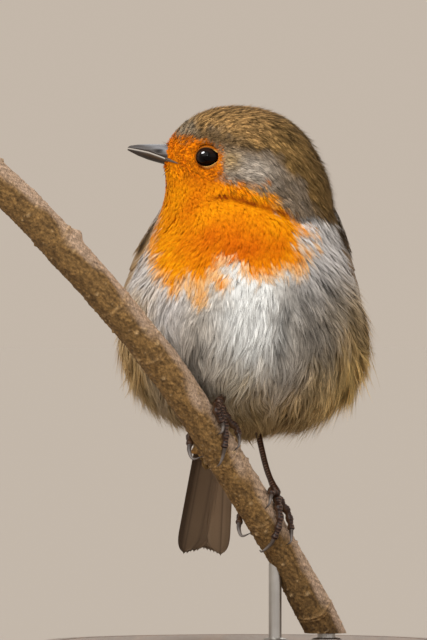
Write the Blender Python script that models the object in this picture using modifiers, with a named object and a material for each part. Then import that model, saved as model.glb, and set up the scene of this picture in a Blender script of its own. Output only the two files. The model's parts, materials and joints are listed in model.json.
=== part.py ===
"""European robin on a cut branch, a still, life-size display model on a small stand.

The bird faces -Y with its head turned to its own right, so that the bill points along -X.
The origin is the centre of the stand's underside and +Z is up.
Lengths are in millimetres, and MM turns them into Blender's metres.
"""

import math
from typing import NamedTuple

import bmesh
import bpy
from mathutils import Matrix, Vector

MM = 0.001
GAP = 0.3                   # left between solids that touch
MERGE = 0.01                # points closer than this are one point

MODEL = "european_robin"
CUTTERS = "robin_cutters"

# --- plumage of the head, neck and trunk -------------------------------------------------
BODY_SIDES = 32             # points round each level section
BODY_STEPS = 2              # sections from one station to the next
CLEARANCE = 0.5             # how much wider the body is where it trims its neighbours


class Station(NamedTuple):
    """A level section of the plumage: its height and how far it reaches each way."""

    z: float
    left: float             # towards -X, the bird's right side
    right: float
    front: float            # towards -Y, the breast
    back: float
    egg: float = 0.0        # how much it narrows towards -X, where the bill is


CROWN_TOP = Station(151.8, -3.0, -3.0, -1.5, -1.5)
BELLY_BOTTOM = Station(64.6, 1.0, 1.0, 8.0, 8.0)
BODY = [
    CROWN_TOP,
    Station(149.6, -12.6, 8.0, -9.0, 6.5, 0.15),
    Station(144.8, -19.2, 15.0, -12.8, 11.0, 0.30),
    Station(138.6, -22.0, 18.8, -14.6, 13.4, 0.38),
    Station(131.5, -21.3, 21.8, -15.8, 15.6, 0.30),
    Station(124.0, -22.6, 23.2, -18.6, 18.0, 0.14),
    Station(116.0, -26.2, 25.0, -23.6, 22.0, 0.04),
    Station(106.0, -30.4, 28.2, -28.6, 26.8),
    Station(96.0, -33.6, 32.0, -30.8, 31.2),
    Station(87.0, -33.6, 32.6, -30.0, 34.6),
    Station(79.0, -30.4, 29.2, -25.0, 36.4),
    Station(72.0, -24.2, 22.4, -15.6, 35.0),
    Station(67.0, -13.6, 13.2, -6.4, 27.6),
    BELLY_BOTTOM,
]

# Thin cuts that part the body, each by a point on it and its upward or rearward normal.
HEAD_CUT = (Vector((0.0, 0.0, 124.6)), Vector((0.15, 0.0, 1.0)))
NECK_CUT = (Vector((0.0, 0.0, 115.0)), Vector((0.05, 0.25, 1.0)))
WAIST_CUT = (Vector((0.0, 0.0, 90.0)), Vector((0.0, -0.35, 1.0)))
BACK_CUT = (Vector((0.0, 1.0, 100.0)), Vector((0.0, 1.0, 0.15)))

# --- bill and eyes -----------------------------------------------------------------------
BILL_ARCH = 8               # edges round each mandible's arch


class BillStation(NamedTuple):
    """A section across the bill: its ridge, cutting edges, lower ridge and half-width."""

    x: float
    culmen: float
    tomium: float
    gonys: float
    half_width: float


HEAD_MIDDLE = -0.7          # the head's plane of symmetry, across Y
BILL = [
    BillStation(-31.4, 140.7, 140.5, 140.0, 0.16),
    BillStation(-30.7, 141.2, 140.4, 139.6, 0.45),
    BillStation(-28.6, 141.5, 140.0, 138.5, 0.90),
    BillStation(-25.8, 141.6, 139.4, 137.4, 1.40),
    BillStation(-23.0, 141.6, 138.4, 136.6, 1.90),
    BillStation(-20.0, 141.6, 137.2, 135.8, 2.40),
    BillStation(-17.0, 141.2, 136.5, 135.2, 2.80),
]

EYE_RADIUS = 3.3
EYE_SINK = 1.7              # the eyeball's centre below the plumage
EYE_AT = (-10.6, 138.0)     # x and z
EYE_FORWARD = 0.36          # how far the eyes look towards the bill, as a slope

# --- wings -------------------------------------------------------------------------------
WING_ENVELOPE = [
    Station(130.0, -20.8, 21.6, -15.0, 16.0, 0.2),
    Station(123.0, -23.2, 24.2, -19.0, 20.0, 0.1),
    Station(113.0, -28.9, 27.2, -25.0, 25.8),
    Station(104.0, -32.6, 30.2, -29.0, 30.2),
    Station(94.0, -34.8, 33.0, -31.0, 34.6),
    Station(84.0, -34.2, 30.6, -29.0, 39.0),
    Station(74.0, -30.4, 20.6, -22.0, 44.4),
    Station(65.0, -25.4, 11.4, -14.0, 49.0),
]


class WingEdge(NamedTuple):
    """Where a wing begins and ends round the body at one height, in degrees from its side."""

    z: float
    front: float
    middle: float           # between the secondaries and the primaries
    back: float


WING_EDGES = [
    WingEdge(127.0, 14.0, 24.0, 32.0),
    WingEdge(120.0, -2.0, 16.0, 46.0),
    WingEdge(112.0, -7.0, 16.0, 58.0),
    WingEdge(104.0, -3.0, 24.0, 66.0),
    WingEdge(96.0, 6.0, 36.0, 73.0),
    WingEdge(88.0, 18.0, 47.0, 76.0),
    WingEdge(80.0, 33.0, 56.0, 75.0),
    WingEdge(72.0, 50.0, 63.0, 72.0),
    WingEdge(65.0, 61.0, 66.0, 69.0),
]
COVERTS_FROM, COVERTS_TO = 127.0, 103.0
SECONDARIES_TO = 75.0
PRIMARIES_TO = 65.5
COVERTS_DEEP, FLIGHT_DEEP = 3.4, 2.0
WING_PARTING = 1.0          # half the angle left between secondaries and primaries

# --- tail --------------------------------------------------------------------------------
TAIL_BASE = Vector((-6.3, 31.0, 79.0))
TAIL_END = Vector((-11.8, 64.6, 30.8))
TAIL_HALF_WIDTHS = (4.2, 7.9)
TAIL_ARCH = 1.6             # height of the middle feathers over the outer ones
TAIL_FEATHERS = 6           # tips that show along the end
TAIL_NOTCH = 1.2            # how much shorter the middle feathers are
TAIL_TIP_ROUND = 1.1
TAIL_THICK = 1.3


class Covert(NamedTuple):
    """A section of the tail coverts: distance along the tail, half-width and half-depth."""

    along: float
    half_width: float
    half_depth: float
    sunk: float             # its middle below the tail's line


TAIL_COVERTS = [
    Covert(-12.0, 11.6, 8.6, 3.4),
    Covert(-4.0, 10.8, 8.4, 3.0),
    Covert(4.0, 9.6, 7.4, 2.2),
    Covert(12.0, 8.2, 5.6, 1.2),
    Covert(20.0, 6.8, 3.6, 0.4),
    Covert(26.0, 5.2, 2.2, 0.0),
    Covert(29.5, 3.6, 1.4, 0.0),
]
COVERT_SIDES = 20

# --- branch ------------------------------------------------------------------------------
PERCH_STEPS = 3
PERCH_SIDES_RESOLUTION = 4


class Bough(NamedTuple):
    """A point of the branch's middle line, and its radius there."""

    x: float
    y: float
    z: float
    radius: float


PERCH = [
    Bough(-70.0, -51.0, 136.2, 4.7),
    Bough(-56.6, -46.4, 123.3, 4.8),
    Bough(-43.2, -41.6, 108.8, 5.0),
    Bough(-32.2, -36.6, 96.0, 4.8),
    Bough(-22.6, -31.0, 84.3, 4.9),
    Bough(-12.0, -24.0, 68.8, 4.7),
    Bough(-2.0, -16.6, 52.8, 4.8),
    Bough(7.9, -9.2, 36.8, 4.7),
    Bough(16.6, -2.4, 21.0, 4.8),
    Bough(23.4, 3.2, 8.0, 4.9),
]
PERCH_FOOT = 12.0           # height of the level cut at its low end
BUD_AT, BUD_RADIUS, BUD_LENGTH = Vector((-44.4, -42.6, 116.9)), 1.7, 3.2

# --- legs and feet -----------------------------------------------------------------------
TARSUS_RADIUS = 0.8
FOOT_RADIUS = 1.55
TOE_RADIUS = 0.72
CLAW_RADIUS = 0.5
CLAW_TIP_RADIUS = 0.12
TOE_STEPS = 3
CLAW_STEPS = 3
TUBE_RESOLUTION = 2


class Knot(NamedTuple):
    """A place on the branch: along it from the foot, round it from its upper edge, above it.

    The angle is in degrees and grows towards -Y, the side that the bird faces.
    """

    along: float
    around: float
    lift: float


class Foot(NamedTuple):
    """One leg: where it leaves the plumage, where it stands, and its toes and claws."""

    side: str
    leaves: Vector
    bends: Vector
    stands_at: float        # height of the branch's middle line under the foot
    toes: dict
    claws: dict


RIGHT_FOOT = Foot(
    side="right",
    leaves=Vector((-4.2, -12.0, 77.5)),
    bends=Vector((-5.4, -18.4, 75.6)),
    stands_at=69.6,
    toes={
        1: (Knot(1.6, -38, 0.9), Knot(3.4, -90, 0.8), Knot(4.6, -142, 0.8), Knot(5.6, -178, 1.0)),
        2: (Knot(3.2, -4, 1.2), Knot(5.8, 0, 1.2), Knot(8.4, 2, 1.8), Knot(9.8, 14, 1.3)),
        3: (Knot(2.6, 26, 0.9), Knot(4.6, 40, 0.9), Knot(7.2, 60, 0.8), Knot(9.2, 78, 0.8)),
        4: (Knot(-0.2, 34, 0.9), Knot(1.8, 42, 1.1), Knot(3.4, 46, 1.1)),
    },
    claws={
        1: (Knot(6.4, -186, 1.9), Knot(8.2, -200, 2.6), Knot(8.8, -218, 0.5)),
        2: (Knot(10.3, 22, 1.4), Knot(11.2, 42, 1.5), Knot(11.6, 58, 0.4)),
        3: (Knot(10.2, 87, 1.0), Knot(11.9, 106, 1.5), Knot(12.8, 124, 0.4)),
        4: (Knot(4.1, 51, 1.3), Knot(4.8, 62, 1.5), Knot(5.0, 74, 0.4)),
    },
)
LEFT_FOOT = Foot(
    side="left",
    leaves=Vector((3.0, -1.0, 66.0)),
    bends=Vector((4.9, -7.4, 56.0)),
    stands_at=45.4,
    toes={
        1: (Knot(0.6, -42, 0.9), Knot(0.8, -90, 0.8), Knot(1.0, -140, 0.8), Knot(1.4, -176, 1.0)),
        2: (Knot(-2.2, 8, 1.0), Knot(-2.8, 24, 1.5), Knot(-2.6, 38, 1.3)),
        3: (Knot(2.0, 32, 0.9), Knot(4.0, 48, 1.0), Knot(6.2, 72, 0.8), Knot(7.8, 94, 0.8)),
        4: (Knot(2.9, 2, 1.3), Knot(5.2, 4, 1.5), Knot(7.6, 16, 1.0), Knot(9.2, 36, 0.9)),
    },
    claws={
        1: (Knot(2.2, -186, 1.8), Knot(3.6, -200, 2.4), Knot(3.8, -220, 0.5)),
        2: (Knot(-2.3, 44, 1.5), Knot(-1.4, 58, 1.6), Knot(-0.6, 70, 0.4)),
        3: (Knot(8.6, 106, 1.0), Knot(9.6, 134, 1.5), Knot(10.0, 160, 0.4)),
        4: (Knot(9.9, 46, 1.1), Knot(10.9, 60, 1.5), Knot(11.3, 74, 0.4)),
    },
)

# --- stand -------------------------------------------------------------------------------
BASE_RADIUS = 55.0
BASE_HEIGHT = 10.0
BASE_BEVEL = 1.6
END_ROD_RADIUS = 2.4
PROP_ROD_RADIUS = 1.7
PROP_HEIGHT = 33.0          # of the branch's middle line beside the prop's top
PROP_ASIDE = 2.4            # the prop stands this far towards -X from that line

OLIVE = (0.17, 0.12, 0.055)
ORANGE = (0.72, 0.20, 0.015)
GREY_WHITE = (0.52, 0.49, 0.45)
BUFF = (0.33, 0.26, 0.17)
WING_BROWN = (0.10, 0.065, 0.035)
HORN = (0.07, 0.05, 0.04)
LEG_BROWN = (0.11, 0.05, 0.03)
EYE_BLACK = (0.008, 0.006, 0.006)
BARK = (0.20, 0.13, 0.07)
BASE_WOOD = (0.16, 0.09, 0.05)
ROD_STEEL = (0.45, 0.44, 0.42)


# --- general helpers ---------------------------------------------------------------------
def clear_scene():
    """Removes whatever the scene holds."""
    for item in list(bpy.data.objects):
        bpy.data.objects.remove(item, do_unlink=True)


def collection(name):
    """A new collection in the scene."""
    made = bpy.data.collections.new(name)
    bpy.context.scene.collection.children.link(made)
    return made


def material(name, colour, roughness, metallic=0.0):
    """A Principled material of one colour."""
    made = bpy.data.materials.new(name)
    made.use_nodes = True
    shader = made.node_tree.nodes["Principled BSDF"]
    shader.inputs["Base Color"].default_value = (*colour, 1.0)
    shader.inputs["Roughness"].default_value = roughness
    shader.inputs["Metallic"].default_value = metallic
    return made


def mixed(a, b, share):
    """A tuple between two others, of the same kind as the first."""
    values = [p + (q - p) * share for p, q in zip(a, b)]
    return type(a)(*values) if hasattr(a, "_fields") else Vector(values)


def spline(before, start, end, after, t):
    """A point on the Catmull-Rom curve from start to end, for tuples of any length."""
    values = [
        0.5 * (2 * q + (r - p) * t + (2 * p - 5 * q + 4 * r - s) * t**2 + (3 * q - p - 3 * r + s) * t**3)
        for p, q, r, s in zip(before, start, end, after)
    ]
    return type(start)(*values) if hasattr(start, "_fields") else Vector(values)


def curve_through(stations, steps, first=None, last=None):
    """The stations with steps - 1 more between each two, on one smooth curve."""
    ends = [first or mixed(stations[1], stations[0], 2.0), last or mixed(stations[-2], stations[-1], 2.0)]
    row = [ends[0], *stations, ends[1]]
    made = [
        spline(*row[i:i + 4], step / steps)
        for i in range(len(stations) - 1)
        for step in range(steps)
    ]
    return [*made, stations[-1]]


def at_height(stations, z):
    """The station of a falling row at height z, on its smooth curve."""
    fine = curve_through(stations, 12)
    for upper, lower in zip(fine, fine[1:]):
        if upper.z >= z >= lower.z:
            return mixed(upper, lower, (upper.z - z) / max(upper.z - lower.z, MERGE))
    return fine[0] if z > fine[0].z else fine[-1]


def finish_mesh(name, bm, look, into, closed=True):
    """Turns a bmesh in millimetres into a named object in metres."""
    bmesh.ops.scale(bm, vec=(MM, MM, MM), verts=bm.verts)
    if closed:
        bmesh.ops.recalc_face_normals(bm, faces=bm.faces)
    mesh = bpy.data.meshes.new(name)
    bm.to_mesh(mesh)
    bm.free()
    made = bpy.data.objects.new(name, mesh)
    into.objects.link(made)
    if look:
        mesh.materials.append(look)
    mesh.shade_smooth()
    mesh.set_sharp_from_angle(angle=math.radians(50))
    return made


def loft(rings, start_point=None, end_point=None):
    """A bmesh skinned over rings of points, each end closed by a point or a flat face."""
    bm = bmesh.new()
    loops = [[bm.verts.new(p) for p in ring] for ring in rings]
    count = len(loops[0])
    for upper, lower in zip(loops, loops[1:]):
        for i in range(count):
            j = (i + 1) % count
            bm.faces.new((upper[i], upper[j], lower[j], lower[i]))
    for loop, point in ((loops[0], start_point), (loops[-1], end_point)):
        if point is None:
            bm.faces.new(loop)
            continue
        pole = bm.verts.new(point)
        for i in range(count):
            bm.faces.new((loop[i], loop[(i + 1) % count], pole))
    return bm


def as_cutter(item):
    """Marks an object as a cutting tool that isn't part of the model."""
    item.display_type = "WIRE"
    item.hide_render = True
    return item


def subtract(item, cutter):
    """Cuts one object out of another with a Boolean modifier."""
    cut = item.modifiers.new("cut_" + cutter.name, "BOOLEAN")
    cut.operation = "DIFFERENCE"
    cut.solver = "EXACT"
    cut.object = cutter


def tube(points, radii, resolution=TUBE_RESOLUTION):
    """A bmesh of a capped tube along points, with a radius at each."""
    curve = bpy.data.curves.new("guide_line", "CURVE")
    curve.dimensions = "3D"
    curve.bevel_depth = 1.0
    curve.bevel_resolution = resolution
    curve.use_fill_caps = True
    line = curve.splines.new("POLY")
    line.points.add(len(points) - 1)
    for spot, point, radius in zip(line.points, points, radii):
        spot.co = (*point, 1.0)
        spot.radius = radius
    guide = bpy.data.objects.new("guide_line", curve)
    bpy.context.scene.collection.objects.link(guide)
    graph = bpy.context.evaluated_depsgraph_get()
    mesh = bpy.data.meshes.new_from_object(guide.evaluated_get(graph))
    bm = bmesh.new()
    bm.from_mesh(mesh)
    bmesh.ops.remove_doubles(bm, verts=bm.verts, dist=MERGE)
    for spent, store in ((guide, bpy.data.objects), (mesh, bpy.data.meshes), (curve, bpy.data.curves)):
        store.remove(spent)
    return bm


# --- head, neck and trunk ----------------------------------------------------------------
def section_point(station, degrees):
    """A point of a level section, by its angle from +X towards +Y."""
    angle = math.radians(degrees)
    across, deep = math.cos(angle), math.sin(angle)
    half_x = (station.right - station.left) / 2
    half_y = (station.back - station.front) / 2
    x = (station.right + station.left) / 2 + half_x * across
    y = (station.back + station.front) / 2 + half_y * deep * (1 + station.egg * across)
    return Vector((x, y, station.z))


def turned_over(station):
    """The station past a pole: the same section met from its far side."""
    return station._replace(
        left=station.right, right=station.left, front=station.back, back=station.front
    )


def grown(station, by):
    """A section made wider all round."""
    return station._replace(
        left=station.left - by, right=station.right + by,
        front=station.front - by, back=station.back + by,
    )


def body_bmesh(by=0.0):
    """The whole plumage from crown to belly in one closed skin, wider by some millimetres."""
    sections = curve_through(BODY, BODY_STEPS, turned_over(BODY[1]), turned_over(BODY[-2]))
    top = section_point(sections[0], 0.0) + Vector((0.0, 0.0, by))
    bottom = section_point(sections[-1], 0.0) - Vector((0.0, 0.0, by))
    step = 360.0 / BODY_SIDES
    rings = [
        [section_point(grown(s, by), i * step) for i in range(BODY_SIDES)]
        for s in sections[1:-1]
    ]
    return loft(rings, top, bottom)


def keep_side(bm, cut, above):
    """Keeps what lies on one side of a cut, half a gap away from it, and closes the cut.

    A cut is a point on it and its normal, which points to what is above.
    """
    point, normal = cut[0], cut[1].normalized()
    facing = -normal if above else normal
    bmesh.ops.bisect_plane(
        bm, geom=[*bm.verts, *bm.edges, *bm.faces], dist=MERGE,
        plane_co=point - facing * GAP / 2, plane_no=facing, clear_outer=True,
    )
    rim = [edge for edge in bm.edges if edge.is_boundary]
    bmesh.ops.holes_fill(bm, edges=rim, sides=0)


def body_piece(name, cuts, look, into):
    """One named piece of the body, by the sides of the cuts that it lies on."""
    bm = body_bmesh()
    for cut, above in cuts:
        keep_side(bm, cut, above)
    return finish_mesh(name, bm, look, into)


def build_body(into, looks):
    """Head, neck, breast, back, belly and rump."""
    body_piece("neck", [(HEAD_CUT, False), (NECK_CUT, True)], looks["breast_orange"], into)
    body_piece(
        "breast", [(NECK_CUT, False), (WAIST_CUT, True), (BACK_CUT, False)],
        looks["breast_orange"], into,
    )
    body_piece(
        "back", [(NECK_CUT, False), (WAIST_CUT, True), (BACK_CUT, True)], looks["olive"], into
    )
    body_piece("belly", [(WAIST_CUT, False), (BACK_CUT, False)], looks["belly_white"], into)
    body_piece("rump", [(WAIST_CUT, False), (BACK_CUT, True)], looks["flank_buff"], into)
    return body_piece("head", [(HEAD_CUT, True)], looks["olive"], into)


# --- bill and eyes -----------------------------------------------------------------------
def bill_ring(station, upper):
    """The outline of one mandible across the bill: an arch over or under its cutting edge."""
    edge = station.tomium + (0.5 if upper else -0.5) * GAP
    height = station.culmen - edge if upper else station.gonys - edge
    return [
        Vector((
            station.x,
            HEAD_MIDDLE + station.half_width * math.cos(math.pi * i / BILL_ARCH),
            edge + height * math.sin(math.pi * i / BILL_ARCH),
        ))
        for i in range(BILL_ARCH + 1)
    ]


def build_bill(into, looks, clearance):
    """Both mandibles, trimmed where they meet the feathers of the face."""
    sections = curve_through(BILL, 2)
    for name, upper in (("upper_mandible", True), ("lower_mandible", False)):
        bm = loft([bill_ring(s, upper) for s in sections])
        mandible = finish_mesh(name, bm, looks["bill_horn"], into)
        subtract(mandible, clearance)


def eye_place(side):
    """The centre of an eyeball; side is -1 for the bird's left eye and 1 for its right."""
    x, z = EYE_AT
    station = at_height(BODY, z)
    across = (x - (station.left + station.right) / 2) * 2 / (station.right - station.left)
    half_depth = (station.back - station.front) / 2
    surface = half_depth * math.sqrt(1 - across**2) * (1 + station.egg * across)
    inward = Vector((EYE_FORWARD, -side, 0.0)).normalized()
    return Vector((x, HEAD_MIDDLE + side * surface, z)) + inward * EYE_SINK


def sphere(name, centre, radius, look, into):
    """A ball of 16 by 10 faces."""
    bm = bmesh.new()
    bmesh.ops.create_uvsphere(bm, u_segments=16, v_segments=10, radius=radius)
    bmesh.ops.rotate(bm, verts=bm.verts, matrix=Matrix.Rotation(math.pi / 2, 3, "X"))
    bmesh.ops.translate(bm, verts=bm.verts, vec=centre)
    return finish_mesh(name, bm, look, into)


def build_eyes(into, tools, looks, head):
    """The two eyeballs, each in its own socket."""
    for name, side in (("left_eye", -1), ("right_eye", 1)):
        centre = eye_place(side)
        sphere(name, centre, EYE_RADIUS, looks["eye_gloss"], into)
        socket = as_cutter(sphere(name + "_socket", centre, EYE_RADIUS + GAP, None, tools))
        subtract(head, socket)


# --- wings -------------------------------------------------------------------------------
def grid_shell(name, across, along, place, outward, deep, look, into):
    """A sheet of faces laid out by place(u, v), both from 0 to 1, and thickened inwards."""
    bm = bmesh.new()
    bmesh.ops.create_grid(bm, x_segments=across, y_segments=along, size=0.5)
    for vert in bm.verts:
        vert.co = place(vert.co.x + 0.5, vert.co.y + 0.5)
    bm.normal_update()
    if sum((face.normal for face in bm.faces), Vector()).dot(outward) < 0:
        bmesh.ops.reverse_faces(bm, faces=bm.faces)
    made = finish_mesh(name, bm, look, into, closed=False)
    shell = made.modifiers.new("thickness", "SOLIDIFY")
    shell.thickness = deep * MM
    shell.offset = -1.0
    shell.use_even_offset = True
    return made


def wing_spot(side, z, degrees):
    """A point on the outside of a folded wing; side is 1 for the bird's left, -1 for its right."""
    station = at_height(WING_ENVELOPE, z)
    return section_point(station, degrees if side > 0 else 180.0 - degrees)


def wing_patch(name, side, heights, edges, deep, look, into):
    """Part of a folded wing, between two heights and two of the wing's named edges."""
    top, bottom = heights
    first, second = edges

    def place(u, v):
        z = top + (bottom - top) * v
        edge = at_height(WING_EDGES, z)
        start = getattr(edge, first) + (WING_PARTING if first == "middle" else 0.0)
        end = getattr(edge, second) - (WING_PARTING if second == "middle" else 0.0)
        return wing_spot(side, z, start + (end - start) * u)

    return grid_shell(name, 7, 8, place, Vector((side, 1.0, 0.0)), deep, look, into)


def build_wings(into, looks, clearance):
    """Coverts, secondaries and primaries of both folded wings."""
    for word, side in (("left", 1), ("right", -1)):
        pieces = [
            wing_patch(
                word + "_wing_coverts", side, (COVERTS_FROM, COVERTS_TO),
                ("front", "back"), COVERTS_DEEP, looks["olive"], into,
            ),
            wing_patch(
                word + "_wing_secondaries", side, (COVERTS_TO - GAP, SECONDARIES_TO),
                ("middle", "back"), FLIGHT_DEEP, looks["wing_brown"], into,
            ),
            wing_patch(
                word + "_wing_primaries", side, (COVERTS_TO - GAP, PRIMARIES_TO),
                ("front", "middle"), FLIGHT_DEEP, looks["wing_brown"], into,
            ),
        ]
        for piece in pieces:
            subtract(piece, clearance)


# --- tail --------------------------------------------------------------------------------
def tail_axes():
    """Unit vectors along the tail, across it towards +X, and out of its upper side."""
    along = (TAIL_END - TAIL_BASE).normalized()
    across = Vector((1.0, 0.0, 0.0))
    across = (across - along * across.dot(along)).normalized()
    upper = across.cross(along).normalized()
    return along, across, upper if upper.y > 0 else -upper


def tail_spot(u, v):
    """A point on the tail's upper side; u runs across it and v from its root to its end."""
    along, across, upper = tail_axes()
    side = 2 * u - 1
    half_width = TAIL_HALF_WIDTHS[0] + (TAIL_HALF_WIDTHS[1] - TAIL_HALF_WIDTHS[0]) * v
    tips = TAIL_TIP_ROUND * abs(math.sin(math.pi * TAIL_FEATHERS * u))
    length = (TAIL_END - TAIL_BASE).length - TAIL_NOTCH * (1 - side**2) - TAIL_TIP_ROUND + tips
    rise = TAIL_ARCH * (1 - side**2)
    return TAIL_BASE + along * length * v + across * half_width * side + upper * rise


def build_tail(into, tools, looks, clearance):
    """The tail feathers as one arched blade, and the coverts round its root."""
    along, across, upper = tail_axes()
    columns = TAIL_FEATHERS * 3
    tail = grid_shell("tail", columns, 4, tail_spot, upper, TAIL_THICK, looks["wing_brown"], into)
    subtract(tail, clearance)
    rings = []
    for covert in TAIL_COVERTS:
        middle = TAIL_BASE + along * covert.along - upper * covert.sunk
        turn = 2 * math.pi / COVERT_SIDES
        rings.append([
            middle
            + across * covert.half_width * math.cos(i * turn)
            + upper * covert.half_depth * math.sin(i * turn)
            for i in range(COVERT_SIDES)
        ])
    coverts = finish_mesh("tail_coverts", loft(rings), looks["flank_buff"], into)
    subtract(coverts, clearance)
    subtract(coverts, as_cutter(tail_slot(tools)))


def tail_slot(tools):
    """The room that the tail's root takes in its coverts."""
    along, across, upper = tail_axes()
    wider = 1 + 2 * GAP / TAIL_HALF_WIDTHS[0]

    def place(u, v):
        return tail_spot(0.5 + (u - 0.5) * wider, v) + upper * GAP - along * GAP * (1 - v)

    return grid_shell("tail_slot", 9, 4, place, upper, TAIL_THICK + 2 * GAP, None, tools)


# --- branch, legs and feet ---------------------------------------------------------------
def perch_line(steps):
    """The branch's points from its raised end to its low end, on one smooth curve."""
    return curve_through(PERCH, steps)


def perch_bmesh(by=0.0):
    """The branch as a tube, thicker by some millimetres all round."""
    line = perch_line(PERCH_STEPS)
    points = [Vector((b.x, b.y, b.z)) for b in line]
    return tube(points, [b.radius + by for b in line], PERCH_SIDES_RESOLUTION)


def build_perch(into, tools, looks):
    """The branch, with one bud scar on its upper edge."""
    bm = perch_bmesh()
    keep_side(bm, (Vector((0.0, 0.0, PERCH_FOOT - GAP / 2)), Vector((0.0, 0.0, 1.0))), True)
    perch = finish_mesh("perch", bm, looks["bark"], into)
    bm = bmesh.new()
    bmesh.ops.create_uvsphere(bm, u_segments=10, v_segments=6, radius=BUD_RADIUS)
    bmesh.ops.scale(bm, vec=(1.0, 1.0, BUD_LENGTH / BUD_RADIUS / 2), verts=bm.verts)
    bmesh.ops.rotate(bm, verts=bm.verts, matrix=Matrix.Rotation(math.radians(-30), 3, "Y"))
    bmesh.ops.translate(bm, verts=bm.verts, vec=BUD_AT)
    bud = as_cutter(finish_mesh("bud_scar", bm, looks["bark"], tools))
    join = perch.modifiers.new("bud_scar", "BOOLEAN")
    join.operation = "UNION"
    join.solver = "EXACT"
    join.object = bud


def perch_frame(distance):
    """The branch's middle, direction and upper and front normals, and its radius.

    The distance is along the branch from its raised end.
    """
    line = perch_line(12)
    points = [Vector((b.x, b.y, b.z)) for b in line]
    for start, end, bough in zip(points, points[1:], line):
        span = (end - start).length
        if distance <= span:
            along = (end - start).normalized()
            facing = Vector((0.0, -1.0, 0.0))
            facing = (facing - along * facing.dot(along)).normalized()
            upper = facing.cross(along).normalized()
            upper = upper if upper.z > 0 else -upper
            return start + along * distance, along, upper, facing, bough.radius
        distance -= span
    raise ValueError("past the branch's low end")


def distance_at_height(z):
    """How far along the branch its middle line is at height z."""
    line = [Vector((b.x, b.y, b.z)) for b in perch_line(12)]
    covered = 0.0
    for start, end in zip(line, line[1:]):
        if start.z >= z >= end.z:
            return covered + (end - start).length * (start.z - z) / (start.z - end.z)
        covered += (end - start).length
    raise ValueError("the branch doesn't reach that height")


def on_perch(foot, knot):
    """The point that a knot names, for one foot."""
    middle, _, upper, facing, radius = perch_frame(distance_at_height(foot.stands_at) + knot.along)
    angle = math.radians(knot.around)
    outward = upper * math.cos(angle) + facing * math.sin(angle)
    return middle + outward * (radius + GAP + knot.lift)


def build_leg(foot, into, looks, clearance):
    """One shank with the ball of its foot, and its four toes and claws."""
    ball = on_perch(foot, Knot(0.0, -4.0, FOOT_RADIUS))
    ankle = ball + (foot.bends - ball).normalized() * FOOT_RADIUS * 1.5
    shank = [foot.leaves, foot.bends, ankle, ball + (ankle - ball) * 0.45, ball, ball - (ankle - ball) * 0.4]
    widths = [
        TARSUS_RADIUS, TARSUS_RADIUS, TARSUS_RADIUS * 1.1,
        FOOT_RADIUS * 0.8, FOOT_RADIUS * 0.95, FOOT_RADIUS * 0.6,
    ]
    tarsus = finish_mesh(foot.side + "_tarsus", tube(shank, widths, 3), looks["leg_brown"], into)
    subtract(tarsus, clearance)
    for number, knots in foot.toes.items():
        route = curve_through([on_perch(foot, knot) for knot in knots], TOE_STEPS)
        last = len(route) - 1
        widths = [
            TOE_RADIUS * (1.0 - 0.18 * i / last) * (1.1 if i % TOE_STEPS == 0 else 0.96)
            for i in range(last + 1)
        ]
        finish_mesh(f"{foot.side}_toe_{number}", tube(route, widths), looks["leg_brown"], into)
        claw = curve_through([on_perch(foot, knot) for knot in foot.claws[number]], CLAW_STEPS)
        claw = [p for p in claw if (p - route[-1]).length > GAP]
        last = len(claw) - 1
        widths = [
            CLAW_TIP_RADIUS + (CLAW_RADIUS - CLAW_TIP_RADIUS) * (1 - i / last) ** 0.8
            for i in range(last + 1)
        ]
        finish_mesh(f"{foot.side}_claw_{number}", tube(claw, widths), looks["claw_horn"], into)


# --- stand -------------------------------------------------------------------------------
def build_base(into, looks):
    """A round flat base with an eased rim."""
    bm = bmesh.new()
    bmesh.ops.create_cone(
        bm, cap_ends=True, segments=48, radius1=BASE_RADIUS, radius2=BASE_RADIUS, depth=BASE_HEIGHT
    )
    bmesh.ops.translate(bm, verts=bm.verts, vec=(0.0, 0.0, BASE_HEIGHT / 2))
    base = finish_mesh("stand_base", bm, looks["stand_wood"], into)
    ease = base.modifiers.new("eased_rim", "BEVEL")
    ease.width = BASE_BEVEL * MM
    ease.segments = 2
    ease.limit_method = "ANGLE"


def build_rod(name, x, y, radius, top, into, looks):
    """An upright rod from the base to a height."""
    bm = bmesh.new()
    low = BASE_HEIGHT + GAP
    bmesh.ops.create_cone(
        bm, cap_ends=True, segments=16, radius1=radius, radius2=radius, depth=top - low
    )
    bmesh.ops.translate(bm, verts=bm.verts, vec=(x, y, (top + low) / 2))
    return finish_mesh(name, bm, looks["stand_rod"], into)


def build_stand(into, tools, looks):
    """The base, the rod under the branch's cut end and the prop further up."""
    build_base(into, looks)
    end = perch_frame(distance_at_height(PERCH_FOOT))[0]
    build_rod("stand_rod_end", end.x, end.y, END_ROD_RADIUS, PERCH_FOOT - GAP, into, looks)
    under = perch_frame(distance_at_height(PROP_HEIGHT))[0]
    prop = build_rod(
        "stand_rod_prop", under.x - PROP_ASIDE, under.y, PROP_ROD_RADIUS, under.z, into, looks
    )
    subtract(prop, as_cutter(finish_mesh("perch_room", perch_bmesh(GAP), None, tools)))


# --- the whole model ---------------------------------------------------------------------
def make_looks():
    """One material for each kind of surface."""
    return {
        "olive": material("olive", OLIVE, 0.9),
        "breast_orange": material("breast_orange", ORANGE, 0.9),
        "belly_white": material("belly_white", GREY_WHITE, 0.95),
        "flank_buff": material("flank_buff", BUFF, 0.95),
        "wing_brown": material("wing_brown", WING_BROWN, 0.7),
        "bill_horn": material("bill_horn", HORN, 0.35),
        "eye_gloss": material("eye_gloss", EYE_BLACK, 0.05),
        "leg_brown": material("leg_brown", LEG_BROWN, 0.5),
        "claw_horn": material("claw_horn", HORN, 0.3),
        "bark": material("bark", BARK, 0.85),
        "stand_wood": material("stand_wood", BASE_WOOD, 0.4),
        "stand_rod": material("stand_rod", ROD_STEEL, 0.35, 0.9),
    }


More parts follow.
